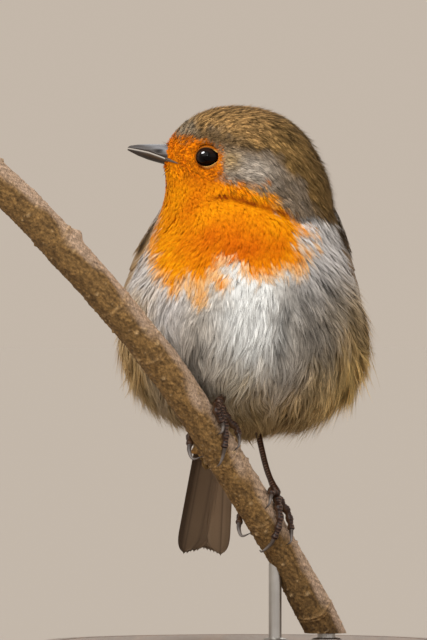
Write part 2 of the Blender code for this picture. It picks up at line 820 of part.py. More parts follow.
def main():
    """Builds every piece of the robin, its branch and its stand."""
    clear_scene()
    model, tools = collection(MODEL), collection(CUTTERS)
    looks = make_looks()
    clearance = as_cutter(finish_mesh("body_room", body_bmesh(CLEARANCE), None, tools))
    head = build_body(model, looks)
    build_bill(model, looks, clearance)
    build_eyes(model, tools, looks, head)
    build_wings(model, looks, clearance)
    build_tail(model, tools, looks, clearance)
    build_perch(model, tools, looks)
    for foot in (RIGHT_FOOT, LEFT_FOOT):
        build_leg(foot, model, looks, clearance)
    build_stand(model, tools, looks)


main()
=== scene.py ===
"""European robin on a cut branch, dressed as a natural history museum would show it.

The bird faces -Y with its head turned to its own right, so that the bill points along -X.
Shapes are worked out in millimetres and turned into Blender's metres when a piece is made.
"""
import json
import logging
import math
from dataclasses import dataclass
from enum import Enum, unique
from typing import Callable, NamedTuple, Sequence

import bmesh
import bpy
import numpy as np
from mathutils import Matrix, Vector
from mathutils.bvhtree import BVHTree
from mathutils.kdtree import KDTree

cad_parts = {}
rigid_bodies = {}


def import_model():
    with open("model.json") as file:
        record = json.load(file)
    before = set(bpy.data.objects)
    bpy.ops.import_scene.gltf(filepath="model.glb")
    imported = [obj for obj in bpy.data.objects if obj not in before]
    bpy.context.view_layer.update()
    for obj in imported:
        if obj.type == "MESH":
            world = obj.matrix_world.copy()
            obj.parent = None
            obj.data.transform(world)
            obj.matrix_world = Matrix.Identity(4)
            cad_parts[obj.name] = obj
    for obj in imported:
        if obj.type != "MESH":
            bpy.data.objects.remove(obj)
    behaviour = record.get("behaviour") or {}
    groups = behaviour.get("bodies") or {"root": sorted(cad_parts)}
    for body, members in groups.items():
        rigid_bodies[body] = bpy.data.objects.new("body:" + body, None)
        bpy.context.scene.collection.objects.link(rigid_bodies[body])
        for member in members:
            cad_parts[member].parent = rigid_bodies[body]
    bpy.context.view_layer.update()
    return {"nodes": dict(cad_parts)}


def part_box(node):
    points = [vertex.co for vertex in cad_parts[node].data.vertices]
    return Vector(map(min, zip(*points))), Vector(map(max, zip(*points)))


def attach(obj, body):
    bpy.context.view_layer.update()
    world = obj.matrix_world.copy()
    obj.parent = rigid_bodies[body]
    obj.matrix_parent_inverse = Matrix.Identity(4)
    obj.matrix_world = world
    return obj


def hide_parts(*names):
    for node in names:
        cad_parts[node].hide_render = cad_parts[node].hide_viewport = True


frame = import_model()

log = logging.getLogger("robin")

Array = np.ndarray
Colour = tuple[float, float, float]
Point = tuple[float, float, float]
Pair = tuple[float, float]
Shape = bmesh.types.BMesh
Material = bpy.types.Material
Place = Callable[[float, float], Vector]

MM = 0.001
BODY = "root"
TINT = "tint"               # the colour attribute that every piece of plumage carries
LIE = "lie"                 # where a point lies along and round a piece, in millimetres
BAKE_MAP = "OFBake"
SPOT = "spot"               # the layer that keeps where a vertex lies on its sheet
UP = Vector((0.0, 0.0, 1.0))
FULL_TURN = 2 * math.pi


# --- shader expressions --------------------------------------------------------------------
class Signal:
    """The output of a shader node, ready to be used in an expression."""

    def __init__(self, graph: "Graph", socket: bpy.types.NodeSocket) -> None:
        """Keeps the graph, and the socket that the signal comes from."""
        self.graph = graph
        self.socket = socket

    def maths(self, operation: str, *operands: "Signal | float") -> "Signal":
        """One Math node."""
        return self.graph.node("ShaderNodeMath", {"operation": operation}, dict(enumerate(operands)))

    def __add__(self, other: "Signal | float") -> "Signal":
        """The sum of two signals."""
        return self.maths("ADD", self, other)

    __radd__ = __add__

    def __sub__(self, other: "Signal | float") -> "Signal":
        """This signal less another."""
        return self.maths("SUBTRACT", self, other)

    def __rsub__(self, other: float) -> "Signal":
        """A number less this signal."""
        return self.maths("SUBTRACT", other, self)

    def __mul__(self, other: "Signal | float") -> "Signal":
        """The product of two signals."""
        return self.maths("MULTIPLY", self, other)

    __rmul__ = __mul__

    def wave(self) -> "Signal":
        """The sine of this signal, in radians, brought between 0 and 1."""
        return self.maths("SINE", self) * 0.5 + 0.5

    def above(self, low: float, high: float) -> "Signal":
        """A smooth step from 0 at low to 1 at high."""
        settings = {"interpolation_type": "SMOOTHSTEP"}
        return self.graph.node("ShaderNodeMapRange", settings, {0: self, 1: low, 2: high})


class Graph:
    """A material and the nodes that feed its Principled shader."""

    def __init__(self, name: str) -> None:
        """Makes the material and finds its shader."""
        self.material = bpy.data.materials.new(name)
        self.material.use_nodes = True
        self.tree = self.material.node_tree
        self.shader = self.tree.nodes["Principled BSDF"]

    def node(
        self, kind: str, settings: dict | None = None, sockets: dict | None = None, output: int | str = 0
    ) -> Signal:
        """Adds a node.

        Args:
            kind: the node's type.
            settings: its properties, set first.
            sockets: values or signals by the input's name or number.
            output: the output that is wanted.

        Returns:
            That output as a signal.
        """
        made = self.tree.nodes.new(kind)
        for key, value in (settings or {}).items():
            setattr(made, key, value)
        for key, value in (sockets or {}).items():
            self.feed(made.inputs[key], value)
        return Signal(self, made.outputs[output])

    def feed(self, socket: bpy.types.NodeSocket, value: "Signal | float | tuple") -> None:
        """Links a signal to a socket, or sets the socket's own value.

        Args:
            socket: the input.
            value: a signal, a number, a vector or a colour.
        """
        if isinstance(value, Signal):
            self.tree.links.new(value.socket, socket)
        elif isinstance(value, tuple) and socket.type == "RGBA":
            socket.default_value = (*value, 1.0)
        else:
            socket.default_value = value

    def dress(self, **looks: "Signal | float | Colour") -> Material:
        """Sets the shader's inputs, named with underscores for spaces, and gives the material."""
        for name, value in looks.items():
            self.feed(self.shader.inputs[name.replace("_", " ")], value)
        return self.material

    def place(self) -> Signal:
        """Object coordinates, in metres."""
        return self.node("ShaderNodeTexCoord", output="Object")

    def attribute(self, name: str, output: str = "Color") -> Signal:
        """A piece's own attribute."""
        return self.node("ShaderNodeAttribute", {"attribute_name": name}, output=output)

    def stretched(self, vector: Signal, by: Point) -> Signal:
        """A vector scaled along each axis."""
        return self.node("ShaderNodeVectorMath", {"operation": "MULTIPLY"}, {0: vector, 1: by})

    def grain(self, vector: Signal, scale: float, detail: float = 3.0, rough: float = 0.55) -> Signal:
        """Soft noise between 0 and 1."""
        sockets = {"Vector": vector, "Scale": scale, "Detail": detail, "Roughness": rough}
        return self.node("ShaderNodeTexNoise", {}, sockets)

    def mix(
        self, first: "Signal | Colour", second: "Signal | Colour", share: "Signal | float", way: str = "MIX"
    ) -> Signal:
        """A colour mixed with another by a share, in one of the Mix node's ways."""
        settings = {"data_type": "RGBA", "blend_type": way}
        return self.node("ShaderNodeMix", settings, {0: share, 6: first, 7: second}, output=2)

    def shaded(self, colour: Signal, low: float, high: float, share: Signal) -> Signal:
        """A colour made darker or lighter, from low times to high times as share goes from 0 to 1."""
        grey = self.mix((low, low, low), (high, high, high), share)
        return self.mix(colour, grey, 1.0, "MULTIPLY")

    def relief(self, height: Signal, strength: float, distance: float) -> Signal:
        """A bumped normal, from a height between 0 and 1 and its depth in metres."""
        sockets = {"Height": height, "Strength": strength, "Distance": distance}
        return self.node("ShaderNodeBump", {}, sockets)


# --- finishes ------------------------------------------------------------------------------
class Grains(NamedTuple):
    """The patterns of a finish, each between 0 and 1."""

    shade: Signal               # lightens and darkens the colour
    wear: Signal                # roughens the surface
    height: Signal              # stands up from it


@dataclass(frozen=True)
class Finish:
    """A finish with its colour in the tint attribute, or between two colours, broken up by grains."""

    name: str
    rough: Pair                                     # the least, and how much wear adds
    shades: Pair = (1.0, 1.0)                       # what the tint is multiplied by, dark to light
    colours: tuple[Colour, Colour] | None = None    # used in place of the tint
    dents: Pair | None = None                       # strength of the relief, and its depth in metres
    specular: float = 0.5
    sheen: Pair = (0.0, 0.5)                        # how much, and how rough
    coat: Pair = (0.0, 0.03)                        # how much, and how rough
    metallic: float = 0.0
    refraction: float = 1.5

    def grains(self, graph: Graph) -> Grains:
        """The patterns of the finish."""
        raise NotImplementedError

    def material(self) -> Material:
        """Builds the material."""
        graph = Graph(self.name)
        grains = self.grains(graph)
        if self.colours:
            colour = graph.mix(*self.colours, grains.shade)
        else:
            colour = graph.shaded(graph.attribute(TINT), *self.shades, grains.shade)
        least, more = self.rough
        if self.dents:
            graph.dress(Normal=graph.relief(grains.height, *self.dents))
        return graph.dress(
            Base_Color=colour, Roughness=grains.wear * more + least if more else least,
            Specular_IOR_Level=self.specular, Metallic=self.metallic, IOR=self.refraction,
            Sheen_Weight=self.sheen[0], Sheen_Roughness=self.sheen[1],
            Coat_Weight=self.coat[0], Coat_Roughness=self.coat[1],
        )


@dataclass(frozen=True)
class PlumageFinish(Finish):
    """Soft barbs."""

    name: str = "plumage"
    rough: Pair = (0.72, 0.16)
    shades: Pair = (0.90, 1.10)
    specular: float = 0.1
    sheen: Pair = (0.03, 0.45)

    def grains(self, graph: Graph) -> Grains:
        """Speckles far smaller than a tuft."""
        return Grains(*[graph.grain(graph.place(), 900.0, 2.0)] * 3)


@dataclass(frozen=True)
class VaneFinish(Finish):
    """Flat webs of a flight feather: fine barbs that slant from its shaft."""

    name: str = "vane_webs"
    rough: Pair = (0.48, 0.2)
    shades: Pair = (0.86, 1.12)
    dents: Pair = (0.35, 0.00006)
    specular: float = 0.4
    sheen: Pair = (0.08, 0.5)
    pitch: float = 0.28         # millimetres between barbs
    slant: float = 0.9

    def grains(self, graph: Graph) -> Grains:
        """Barbs and wear; the lie attribute holds across, along and the shaft's nearness."""
        lie = graph.attribute(LIE, "Vector")
        across = graph.node("ShaderNodeSeparateXYZ", {}, {0: lie})
        along = Signal(graph, across.socket.node.outputs[1])
        sideways = across.maths("ABSOLUTE", across)
        barbs = ((along - sideways * self.slant) * (FULL_TURN / self.pitch)).wave()
        wear_and_painted_light = graph.grain(lie, 1.6, 4.0)
        return Grains(barbs * 0.5 + wear_and_painted_light * 0.5, wear_and_painted_light, barbs)


@dataclass(frozen=True)
class HornFinish(Finish):
    """Keratin of the bill and claws."""

    name: str = "bill_horn"
    rough: Pair = (0.29, 0.18)
    shades: Pair = (0.78, 1.20)
    dents: Pair = (0.35, 0.00004)

    def grains(self, graph: Graph) -> Grains:
        """Fine growth lines along the horn, and soft clouds in its colour."""
        lines = graph.grain(graph.stretched(graph.place(), (0.25, 1.0, 1.0)), 2600.0, 4.0)
        return Grains(graph.grain(graph.place(), 420.0), lines, lines)


@dataclass(frozen=True)
class EyeFinish(Finish):
    """A wet dark eye: pupil and iris in the tint, under a smooth front."""

    name: str = "wet_eye"
    rough: Pair = (0.05, 0.0)
    shades: Pair = (0.7, 1.3)
    specular: float = 0.12
    refraction: float = 1.4

    def grains(self, graph: Graph) -> Grains:
        """Fine flecks in the iris."""
        return Grains(*[graph.grain(graph.place(), 3000.0)] * 3)


@dataclass(frozen=True)
class ScaleFinish(Finish):
    """Horny scales of the shanks and toes."""

    name: str = "foot_scales"
    rough: Pair = (0.22, 0.25)
    shades: Pair = (0.7, 1.35)
    dents: Pair = (0.4, 0.00006)
    specular: float = 0.3

    def grains(self, graph: Graph) -> Grains:
        """Tiny pits."""
        return Grains(*[graph.grain(graph.place(), 3200.0, 4.0)] * 3)


@dataclass(frozen=True)
class BarkFinish(Finish):
    """Thin young bark, with its pale pores in the tint."""

    name: str = "young_bark"
    rough: Pair = (0.62, 0.25)
    shades: Pair = (0.45, 1.60)
    dents: Pair = (0.9, 0.0006)
    specular: float = 0.3

    def grains(self, graph: Graph) -> Grains:
        """Fine wrinkles along the branch, and pits."""
        lie = graph.stretched(graph.attribute(LIE, "Vector"), (1.0, 1.0, 0.45))
        rough = graph.grain(lie, 3.4, 6.0, 0.75) * 0.6 + graph.grain(graph.place(), 1500.0, 5.0, 0.7) * 0.4
        return Grains(rough.above(0.34, 0.66), rough, rough)


@dataclass(frozen=True)
class WoodFinish(Finish):
    """Turned hardwood with a satin oil finish."""

    name: str = "turned_wood"
    rough: Pair = (0.26, 0.2)
    colours: tuple[Colour, Colour] = ((0.060, 0.028, 0.014), (0.170, 0.088, 0.045))
    dents: Pair = (0.2, 0.00008)
    coat: Pair = (0.25, 0.2)

    def grains(self, graph: Graph) -> Grains:
        """Year rings that drift across the disc, streaks and pores."""
        place = graph.place()
        drift = graph.grain(graph.stretched(place, (1.0, 0.12, 1.0)), 40.0)
        streaks = graph.grain(graph.stretched(place, (1.0, 0.05, 0.6)), 520.0, 6.0, 0.6)
        pores = graph.grain(graph.stretched(place, (1.0, 0.06, 1.0)), 2600.0, 2.0)
        rings = (drift * 46.0 + streaks * 3.0).wave()
        return Grains(rings * 0.55 + streaks * 0.45, streaks, pores)


@dataclass(frozen=True)
class SteelFinish(Finish):
    """Brushed steel of the stand's rods."""

    name: str = "brushed_steel"
    rough: Pair = (0.24, 0.22)
    colours: tuple[Colour, Colour] = ((0.36, 0.35, 0.34), (0.56, 0.55, 0.53))
    dents: Pair = (0.15, 0.00003)
    metallic: float = 1.0

    def grains(self, graph: Graph) -> Grains:
        """Brush marks along the rod, and soft clouds in its colour."""
        brushing = graph.grain(graph.stretched(graph.place(), (1.0, 1.0, 0.05)), 4200.0)
        return Grains(graph.grain(graph.place(), 180.0, 2.0), brushing, brushing)


@dataclass(frozen=True)
class FloorFinish:
    """Matt painted floor of the studio."""

    colour: Colour
    name: str = "studio_floor"

    def material(self) -> Material:
        """Builds the material."""
        return Graph(self.name).dress(Base_Color=self.colour, Roughness=1.0, Specular_IOR_Level=0.0)


# --- numbers over many points --------------------------------------------------------------
def unit(vectors: Array) -> Array:
    """Rows of vectors brought to length 1."""
    return vectors / np.maximum(np.linalg.norm(vectors, axis=-1, keepdims=True), 1e-9)


def level(vectors: Array, normals: Array) -> Array:
    """Rows of vectors laid flat on a surface with these normals."""
    return vectors - normals * (vectors * normals).sum(axis=1, keepdims=True)


def step(values: Array, low: float, high: float) -> Array:
    """A smooth step from 0 at low to 1 at high, which may also run downwards."""
    t = np.clip((values - low) / (high - low), 0.0, 1.0)
    return t * t * (3 - 2 * t)


def hill(*spans: tuple[Array, float, float]) -> Array:
    """A smooth hill, 1 at its top; each span has the values, where its top is and its reach."""
    return np.exp(-sum(((values - top) / reach) ** 2 for values, top, reach in spans))


def ripple(points: Array, size: float, seed: int) -> Array:
    """Smooth noise between about -1 and 1.

    Args:
        points: where it is wanted, in millimetres.
        size: about how far across its hills are.
        seed: which noise it is.

    Returns:
        One value for each point.
    """
    rng = np.random.default_rng(seed)
    waves = rng.normal(size=(9, 3)) * (2.2 / size)
    phases = rng.uniform(0, FULL_TURN, 9)
    return np.sin(points @ waves.T + phases).sum(axis=-1) / 3.2


def display(red: int, green: int, blue: int) -> Colour:
    """A linear colour from the three values that a screen would show, 0 to 255."""
    return tuple(
        v / 255 / 12.92 if v / 255 <= 0.04045 else ((v / 255 + 0.055) / 1.055) ** 2.4
        for v in (red, green, blue)
    )


def plain(colour: "Hue | Colour", count: int) -> Array:
    """The same colour for a number of points."""
    return np.tile(getattr(colour, "value", colour), (count, 1))


def blended(first: Array, second: "Array | Hue | Colour", share: "Array | float") -> Array:
    """Rows of colours moved towards others by a share for each row."""
    return first + (np.asarray(getattr(second, "value", second)) - first) * np.reshape(share, (-1, 1))


def overlaid(tints: Array, *layers: tuple["Array | Hue | Colour", "Array | float"]) -> Array:
    """Rows of colours with other colours laid over them in turn, each by its share."""
    for colour, share in layers:
        tints = blended(tints, colour, share)
    return tints


def inside(outline: Sequence[Pair], x: Array, z: Array) -> Array:
    """How deep points lie inside a closed outline.

    Args:
        outline: its corners.
        x: the points' first coordinate.
        z: their second coordinate.

    Returns:
        The distance from the outline in millimetres, negative outside it.
    """
    corners = np.array(outline)
    ends = np.roll(corners, -1, axis=0)
    nearest = np.full(len(x), np.inf)
    crossings = np.zeros(len(x), int)
    for (ax, az), (bx, bz) in zip(corners, ends):
        dx, dz = bx - ax, bz - az
        t = np.clip(((x - ax) * dx + (z - az) * dz) / (dx * dx + dz * dz), 0, 1)
        nearest = np.minimum(nearest, np.hypot(x - ax - t * dx, z - az - t * dz))
        if az != bz:
            crossings += ((az > z) != (bz > z)) & (x < ax + (z - az) * dx / dz)
    return np.where(crossings % 2 == 1, nearest, -nearest)


def curve_through(points: Array, steps: int) -> Array:
    """One smooth curve through points.

    Args:
        points: the points, one row for each.
        steps: how many places the curve has from one point to the next.

    Returns:
        The curve's places, one row for each.
    """
    row = np.vstack([2 * points[0] - points[1], points, 2 * points[-1] - points[-2]])
    before, start, end, after = row[:-3], row[1:-2], row[2:-1], row[3:]
    parts = [
        0.5 * (2 * start + (end - before) * t + (2 * before - 5 * start + 4 * end - after) * t ** 2
               + (3 * start - before - 3 * end + after) * t ** 3)
        for t in np.arange(steps) / steps
    ]
    return np.vstack([np.stack(parts, axis=1).reshape(-1, points.shape[1]), points[-1:]])


# --- meshes --------------------------------------------------------------------------------
class Dress(NamedTuple):
    """What a piece wears, and what it stands for."""

    material: Material
    slot: str                           # the record's material slot
    tints: Array | None = None          # a colour for each vertex
    lies: Array | None = None           # the place along and round the piece for each vertex
    replaced: Sequence[str] = ()        # the CAD nodes that it stands for


def placed(name: str, mesh: bpy.types.Mesh, dress: Dress) -> bpy.types.Object:
    """Links a finished mesh in metres as a piece that rides on the model.

    Args:
        name: the piece's name.
        mesh: its shape.
        dress: what it wears.

    Returns:
        The piece.
    """
    if dress.tints is not None:
        store = mesh.color_attributes.new(name=TINT, type="FLOAT_COLOR", domain="POINT")
        colours = np.c_[dress.tints, np.ones(len(dress.tints))]
        store.data.foreach_set("color", colours.astype(np.float32).ravel())
    if dress.lies is not None:
        store = mesh.attributes.new(LIE, "FLOAT_VECTOR", "POINT")
        store.data.foreach_set("vector", np.asarray(dress.lies, np.float32).ravel())
    mesh.materials.append(dress.material)
    piece = bpy.data.objects.new(name, mesh)
    bpy.context.scene.collection.objects.link(piece)
    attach(piece, BODY)
    if dress.replaced:
        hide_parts(*dress.replaced)
    log.info("%s: %d faces", name, len(mesh.polygons))
    return piece


def finished(name: str, bm: Shape, dress: Dress, recalculate: bool = False) -> bpy.types.Object:
    """Turns a shape in millimetres into a piece.

    Args:
        name: the piece's name.
        bm: its shape; it is used up.
        dress: what it wears.
        recalculate: whether its faces are turned outwards.

    Returns:
        The piece.
    """
    if recalculate:
        bmesh.ops.recalc_face_normals(bm, faces=bm.faces)
    for layer in bm.verts.layers.float_vector.values():
        bm.verts.layers.float_vector.remove(layer)
    bmesh.ops.scale(bm, vec=(MM, MM, MM), verts=bm.verts)
    mesh = bpy.data.meshes.new(name)
    bm.to_mesh(mesh)
    bm.free()
    mesh.shade_smooth()
    return placed(name, mesh, dress)


def cad_bmesh(*nodes: str) -> Shape:
    """CAD nodes copied into one shape in millimetres, their loose triangles joined up."""
    bm = bmesh.new()
    for node in nodes:
        bm.from_mesh(frame["nodes"][node].data)
    bmesh.ops.scale(bm, vec=(1 / MM, 1 / MM, 1 / MM), verts=bm.verts)
    bmesh.ops.remove_doubles(bm, verts=bm.verts, dist=0.002)
    bm.normal_update()
    return bm


def cad_box(node: str) -> tuple[Vector, Vector]:
    """The low and high corners of a CAD node, in millimetres."""
    low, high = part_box(node)
    return low / MM, high / MM


def vertices(bm: Shape) -> tuple[Array, Array]:
    """The places and normals of a shape's vertices."""
    return np.array([v.co[:] for v in bm.verts]), np.array([v.normal[:] for v in bm.verts])


def moved(bm: Shape, places: Array) -> None:
    """Puts each vertex of a shape at its new place."""
    for vert, place in zip(bm.verts, places):
        vert.co = place


def eased(bm: Shape, factor: float, times: int = 1) -> None:
    """Smooths a shape a number of times."""
    for _ in range(times):
        bmesh.ops.smooth_vert(
            bm, verts=bm.verts, factor=factor, use_axis_x=True, use_axis_y=True, use_axis_z=True
        )
    bm.normal_update()


def remeshed(bm: Shape, swell: float, voxel: float, smoothings: int) -> Shape:
    """One even skin round all the solids of a shape.

    Args:
        bm: closed solids in millimetres; it is used up.
        swell: how far they grow first, which closes the thin gaps between them.
        voxel: the size of the skin's faces.
        smoothings: how many times the skin is eased.

    Returns:
        The skin.
    """
    for vert in bm.verts:
        vert.co += vert.normal * swell
    mesh = bpy.data.meshes.new("blank")
    bm.to_mesh(mesh)
    bm.free()
    blank = bpy.data.objects.new("blank", mesh)
    bpy.context.scene.collection.objects.link(blank)
    skin = blank.modifiers.new("skin", "REMESH")
    skin.mode = "VOXEL"
    skin.voxel_size = voxel
    graph = bpy.context.evaluated_depsgraph_get()
    done = bpy.data.meshes.new_from_object(blank.evaluated_get(graph))
    made = bmesh.new()
    made.from_mesh(done)
    for spent, store in ((blank, bpy.data.objects), (mesh, bpy.data.meshes), (done, bpy.data.meshes)):
        store.remove(spent)
    eased(made, 0.5, smoothings)
    return made


def sheet(across: int, along: int, place: Place) -> Shape:
    """A grid of faces laid out by a function.

    Args:
        across: how many faces it has one way.
        along: how many the other way.
        place: gives a point from u and v, both from 0 to 1, which stay in a layer.

    Returns:
        The sheet.
    """
    bm = bmesh.new()
    bmesh.ops.create_grid(bm, x_segments=across, y_segments=along, size=0.5)
    layer = bm.verts.layers.float_vector.new(SPOT)
    for vert in bm.verts:
        spot = (vert.co.x + 0.5, vert.co.y + 0.5)
        vert[layer] = (*spot, 0.0)
        vert.co = place(*spot)
    return bm


def spots(bm: Shape) -> tuple[Array, Array]:
    """The u and v that each vertex of a sheet or sleeve was laid out by."""
    layer = bm.verts.layers.float_vector[SPOT]
    u, v, _ = np.array([vert[layer][:] for vert in bm.verts]).T
    return u, v


def closed(bm: Shape) -> None:
    """Fills the open ends of a shape."""
    bmesh.ops.holes_fill(bm, edges=[edge for edge in bm.edges if edge.is_boundary], sides=0)


def sleeve(around: int, along: int, place: Place) -> Shape:
    """A sheet rolled up into a tube, u round it and v along it, with both of its ends closed."""
    bm = sheet(around, along, place)
    bmesh.ops.remove_doubles(bm, verts=bm.verts, dist=0.0005)
    closed(bm)
    bmesh.ops.recalc_face_normals(bm, faces=bm.faces)
    return bm


def turned(profile: Sequence[Pair], steps: int) -> Shape:
    """A closed shape turned on a lathe.

    Args:
        profile: (radius, height) pairs that start and end on its axis.
        steps: how many faces it has all round.

    Returns:
        The shape.
    """
    bm = bmesh.new()
    row = [bm.verts.new((radius, 0.0, height)) for radius, height in profile]
    for lower, upper in zip(row, row[1:]):
        bm.edges.new((lower, upper))
    bmesh.ops.spin(
        bm, geom=[*bm.verts, *bm.edges], cent=(0, 0, 0), axis=(0, 0, 1), dvec=(0, 0, 0),
        angle=FULL_TURN, steps=steps, use_merge=True,
    )
    bmesh.ops.remove_doubles(bm, verts=bm.verts, dist=0.001)
    bmesh.ops.recalc_face_normals(bm, faces=bm.faces)
    return bm


class Bundle:
    """Shapes gathered into one piece, with a colour and a lie for each vertex."""

    def __init__(self) -> None:
        """Starts with no shapes."""
        self.shapes: list[Shape] = []
        self.tints: list[Array] = []
        self.lies: list[Array] = []

    def add(self, bm: Shape, tints: Array, lies: Array | None = None) -> None:
        """Adds a shape; all of a bundle's shapes have lies, or none has."""
        self.shapes.append(bm)
        self.tints.append(tints)
        if lies is not None:
            self.lies.append(lies)

    def build(
        self, name: str, material: Material, slot: str, replaced: Sequence[str] = ()
    ) -> bpy.types.Object:
        """Makes the piece.

        Args:
            name: the piece's name.
            material: its finish.
            slot: the record's material slot.
            replaced: the CAD nodes that it stands for.

        Returns:
            The piece.
        """
        whole = bmesh.new()
        for part in self.shapes:
            mesh = bpy.data.meshes.new("part")
            part.to_mesh(mesh)
            part.free()
            whole.from_mesh(mesh)
            bpy.data.meshes.remove(mesh)
        lies = np.vstack(self.lies) if self.lies else None
        return finished(name, whole, Dress(material, slot, np.vstack(self.tints), lies, replaced))


# --- plumage: colours and lie --------------------------------------------------------------
HEAD_MIDDLE = -0.7          # the head's plane of symmetry, across Y


class Hue(Enum):
    """The colours of the plumage, linear."""

    OLIVE = display(140, 112, 68)
    OLIVE_DARK = display(104, 80, 44)
    CROWN = display(169, 135, 87)
    ORANGE = display(252, 168, 2)
    ORANGE_DEEP = display(224, 114, 0)
    ORANGE_EDGE = display(250, 200, 118)
    FACE_ORANGE = display(230, 132, 2)
    FACE_SHADE = display(178, 86, 6)
    GREY = display(196, 187, 175)
    BLUE_GREY = display(222, 220, 220)
    BROW_GREY = display(118, 96, 66)
    FOREHEAD = display(156, 142, 120)
    CHEEK_DARK = display(134, 119, 101)
    WHITE = display(240, 243, 243)
    PALE_GREY = display(212, 206, 190)
    BUFF = display(210, 174, 104)
    WARM_BUFF = display(180, 142, 88)
    # a buff for the low flank, brightened as painted light
    FLANK_BUFF_AND_PAINTED_LIGHT = display(250, 216, 140)
    LOW_BELLY = display(190, 160, 98)
    WING = display(100, 78, 52)
    WING_DARK = display(54, 40, 27)
    FRINGE_AND_PAINTED_LIGHT = display(160, 130, 88)
    TAIL = display(142, 120, 96)
    TAIL_DARK = display(58, 40, 19)


ORANGE_OUTLINE = [
    (-26.0, 142.4), (-22.0, 144.0), (-19.0, 144.1), (-16.3, 143.5), (-13.2, 142.7), (-10.1, 142.4),
    (-8.1, 141.2), (-6.0, 138.7), (-6.2, 135.8), (-6.2, 132.9), (-4.6, 131.3), (-2.7, 130.3), (1.2, 130.5),
    (3.9, 128.2), (7.8, 127.0), (9.4, 123.6), (12.4, 121.2), (14.6, 119.0), (13.4, 114.4), (15.0, 109.7),
    (14.1, 105.6), (11.3, 106.9), (8.0, 106.3), (3.2, 104.8), (-0.1, 105.6), (-2.9, 108.4), (-5.8, 109.3),
    (-8.6, 106.6), (-10.3, 104.2), (-11.7, 99.4), (-13.4, 102.2), (-15.2, 105.4), (-18.6, 101.4),
    (-21.4, 104.6), (-24.7, 108.7), (-25.4, 115.8), (-23.3, 120.1), (-23.6, 126.0), (-26.0, 134.0),
]
ORANGE_PATCHES = [((15.2, 117.4), 2.1), ((15.9, 112.0), 1.6), ((-6.4, 103.6), 1.5), ((4.6, 129.6), 1.6)]
OLIVE_EDGE = [
    (-24.0, 146.8), (-15.5, 146.6), (-9.0, 144.8), (-4.0, 143.6), (0.8, 140.4), (7.0, 138.0),
    (11.3, 134.2), (15.2, 129.2), (18.3, 124.0), (21.0, 119.0),
]
FOLD = np.array([
    (-16.0, 122.6), (-9.0, 127.2), (-3.5, 127.3), (3.9, 125.3), (9.8, 123.0), (14.4, 121.0), (17.5, 121.6),
    (21.2, 120.2), (24.5, 118.0),
])


def above_fold(points: Array) -> Array:
    """How high points lie above the edge of the turned head's feathers, seen from the front."""
    edge = np.interp(points[:, 0], *FOLD.T)
    return points[:, 2] - edge - (121.0 - edge) * step(points[:, 1], -3.0, 5.0)


def at_fold(points: Array, above: "Array | float", reach: float) -> Array:
    """How near points lie to that edge, where the head overhangs the breast.

    Args:
        points: places on the plumage, in millimetres.
        above: the level above the edge that counts as nearest.
        reach: how far from that level it still counts.

    Returns:
        1 at the level and 0 away from it, for each point.
    """
    x, y, _ = points.T
    near = hill((above_fold(points), above, reach))
    return near * step(x, -12.0, -5.0) * step(x, 20.0, 15.0) * (y < 4.0)


class Patch(NamedTuple):
    """A patch of the plumage, seen from the front."""

    x: float
    z: float
    width: float
    height: float
    depth: float = 1.0          # how strong it is
    lean: float = 0.0           # how far it slants, across for each step down

    def share(self, x: Array, z: Array) -> Array:
        """How far places belong to it, from 0 to its depth."""
        across = x + (z - self.z) * self.lean
        return self.depth * hill((across, self.x, self.width), (z, self.z, self.height))


# painted shade: darker patches of the breast and flanks, for the shadow on the +X flank and the dark gaps
# between locks
SHADES = [
    Patch(17.5, 91.0, 6.5, 14.0, 0.60, 0.25), Patch(25.0, 97.0, 3.5, 9.0, 0.34, 0.45),
    Patch(21.5, 101.5, 1.4, 4.0, 0.60, 0.5), Patch(27.0, 93.0, 1.4, 4.5, 0.62, 0.5),
    Patch(9.4, 93.0, 1.5, 5.5, 0.74), Patch(8.0, 86.0, 1.6, 3.6, 0.68, 0.1),
    Patch(-12.0, 86.0, 2.0, 4.4, 0.72, -0.2), Patch(-11.0, 78.0, 2.0, 3.8, 0.62, -0.3),
    Patch(13.0, 80.0, 1.4, 4.5, 0.40, 0.2), Patch(15.0, 97.5, 1.1, 3.5, 0.40, 0.3),
    Patch(-20.0, 84.0, 2.0, 7.0, 0.30, -0.4), Patch(0.5, 71.0, 4.0, 3.0, 0.30),
]
CHEEK = Patch(1.5, 135.6, 6.5, 4.6, 1.15)
WARM_CHEEK = Patch(-3.6, 137.0, 2.8, 2.6, 0.6)
LOWER_CHEEK = Patch(9.0, 127.8, 3.4, 2.4, 0.12)
CHIN = Patch(-21.0, 132.5, 4.5, 3.5, 0.9)
BIB_MIDDLE = Patch(-1.0, 113.0, 10.0, 6.5, 0.62)


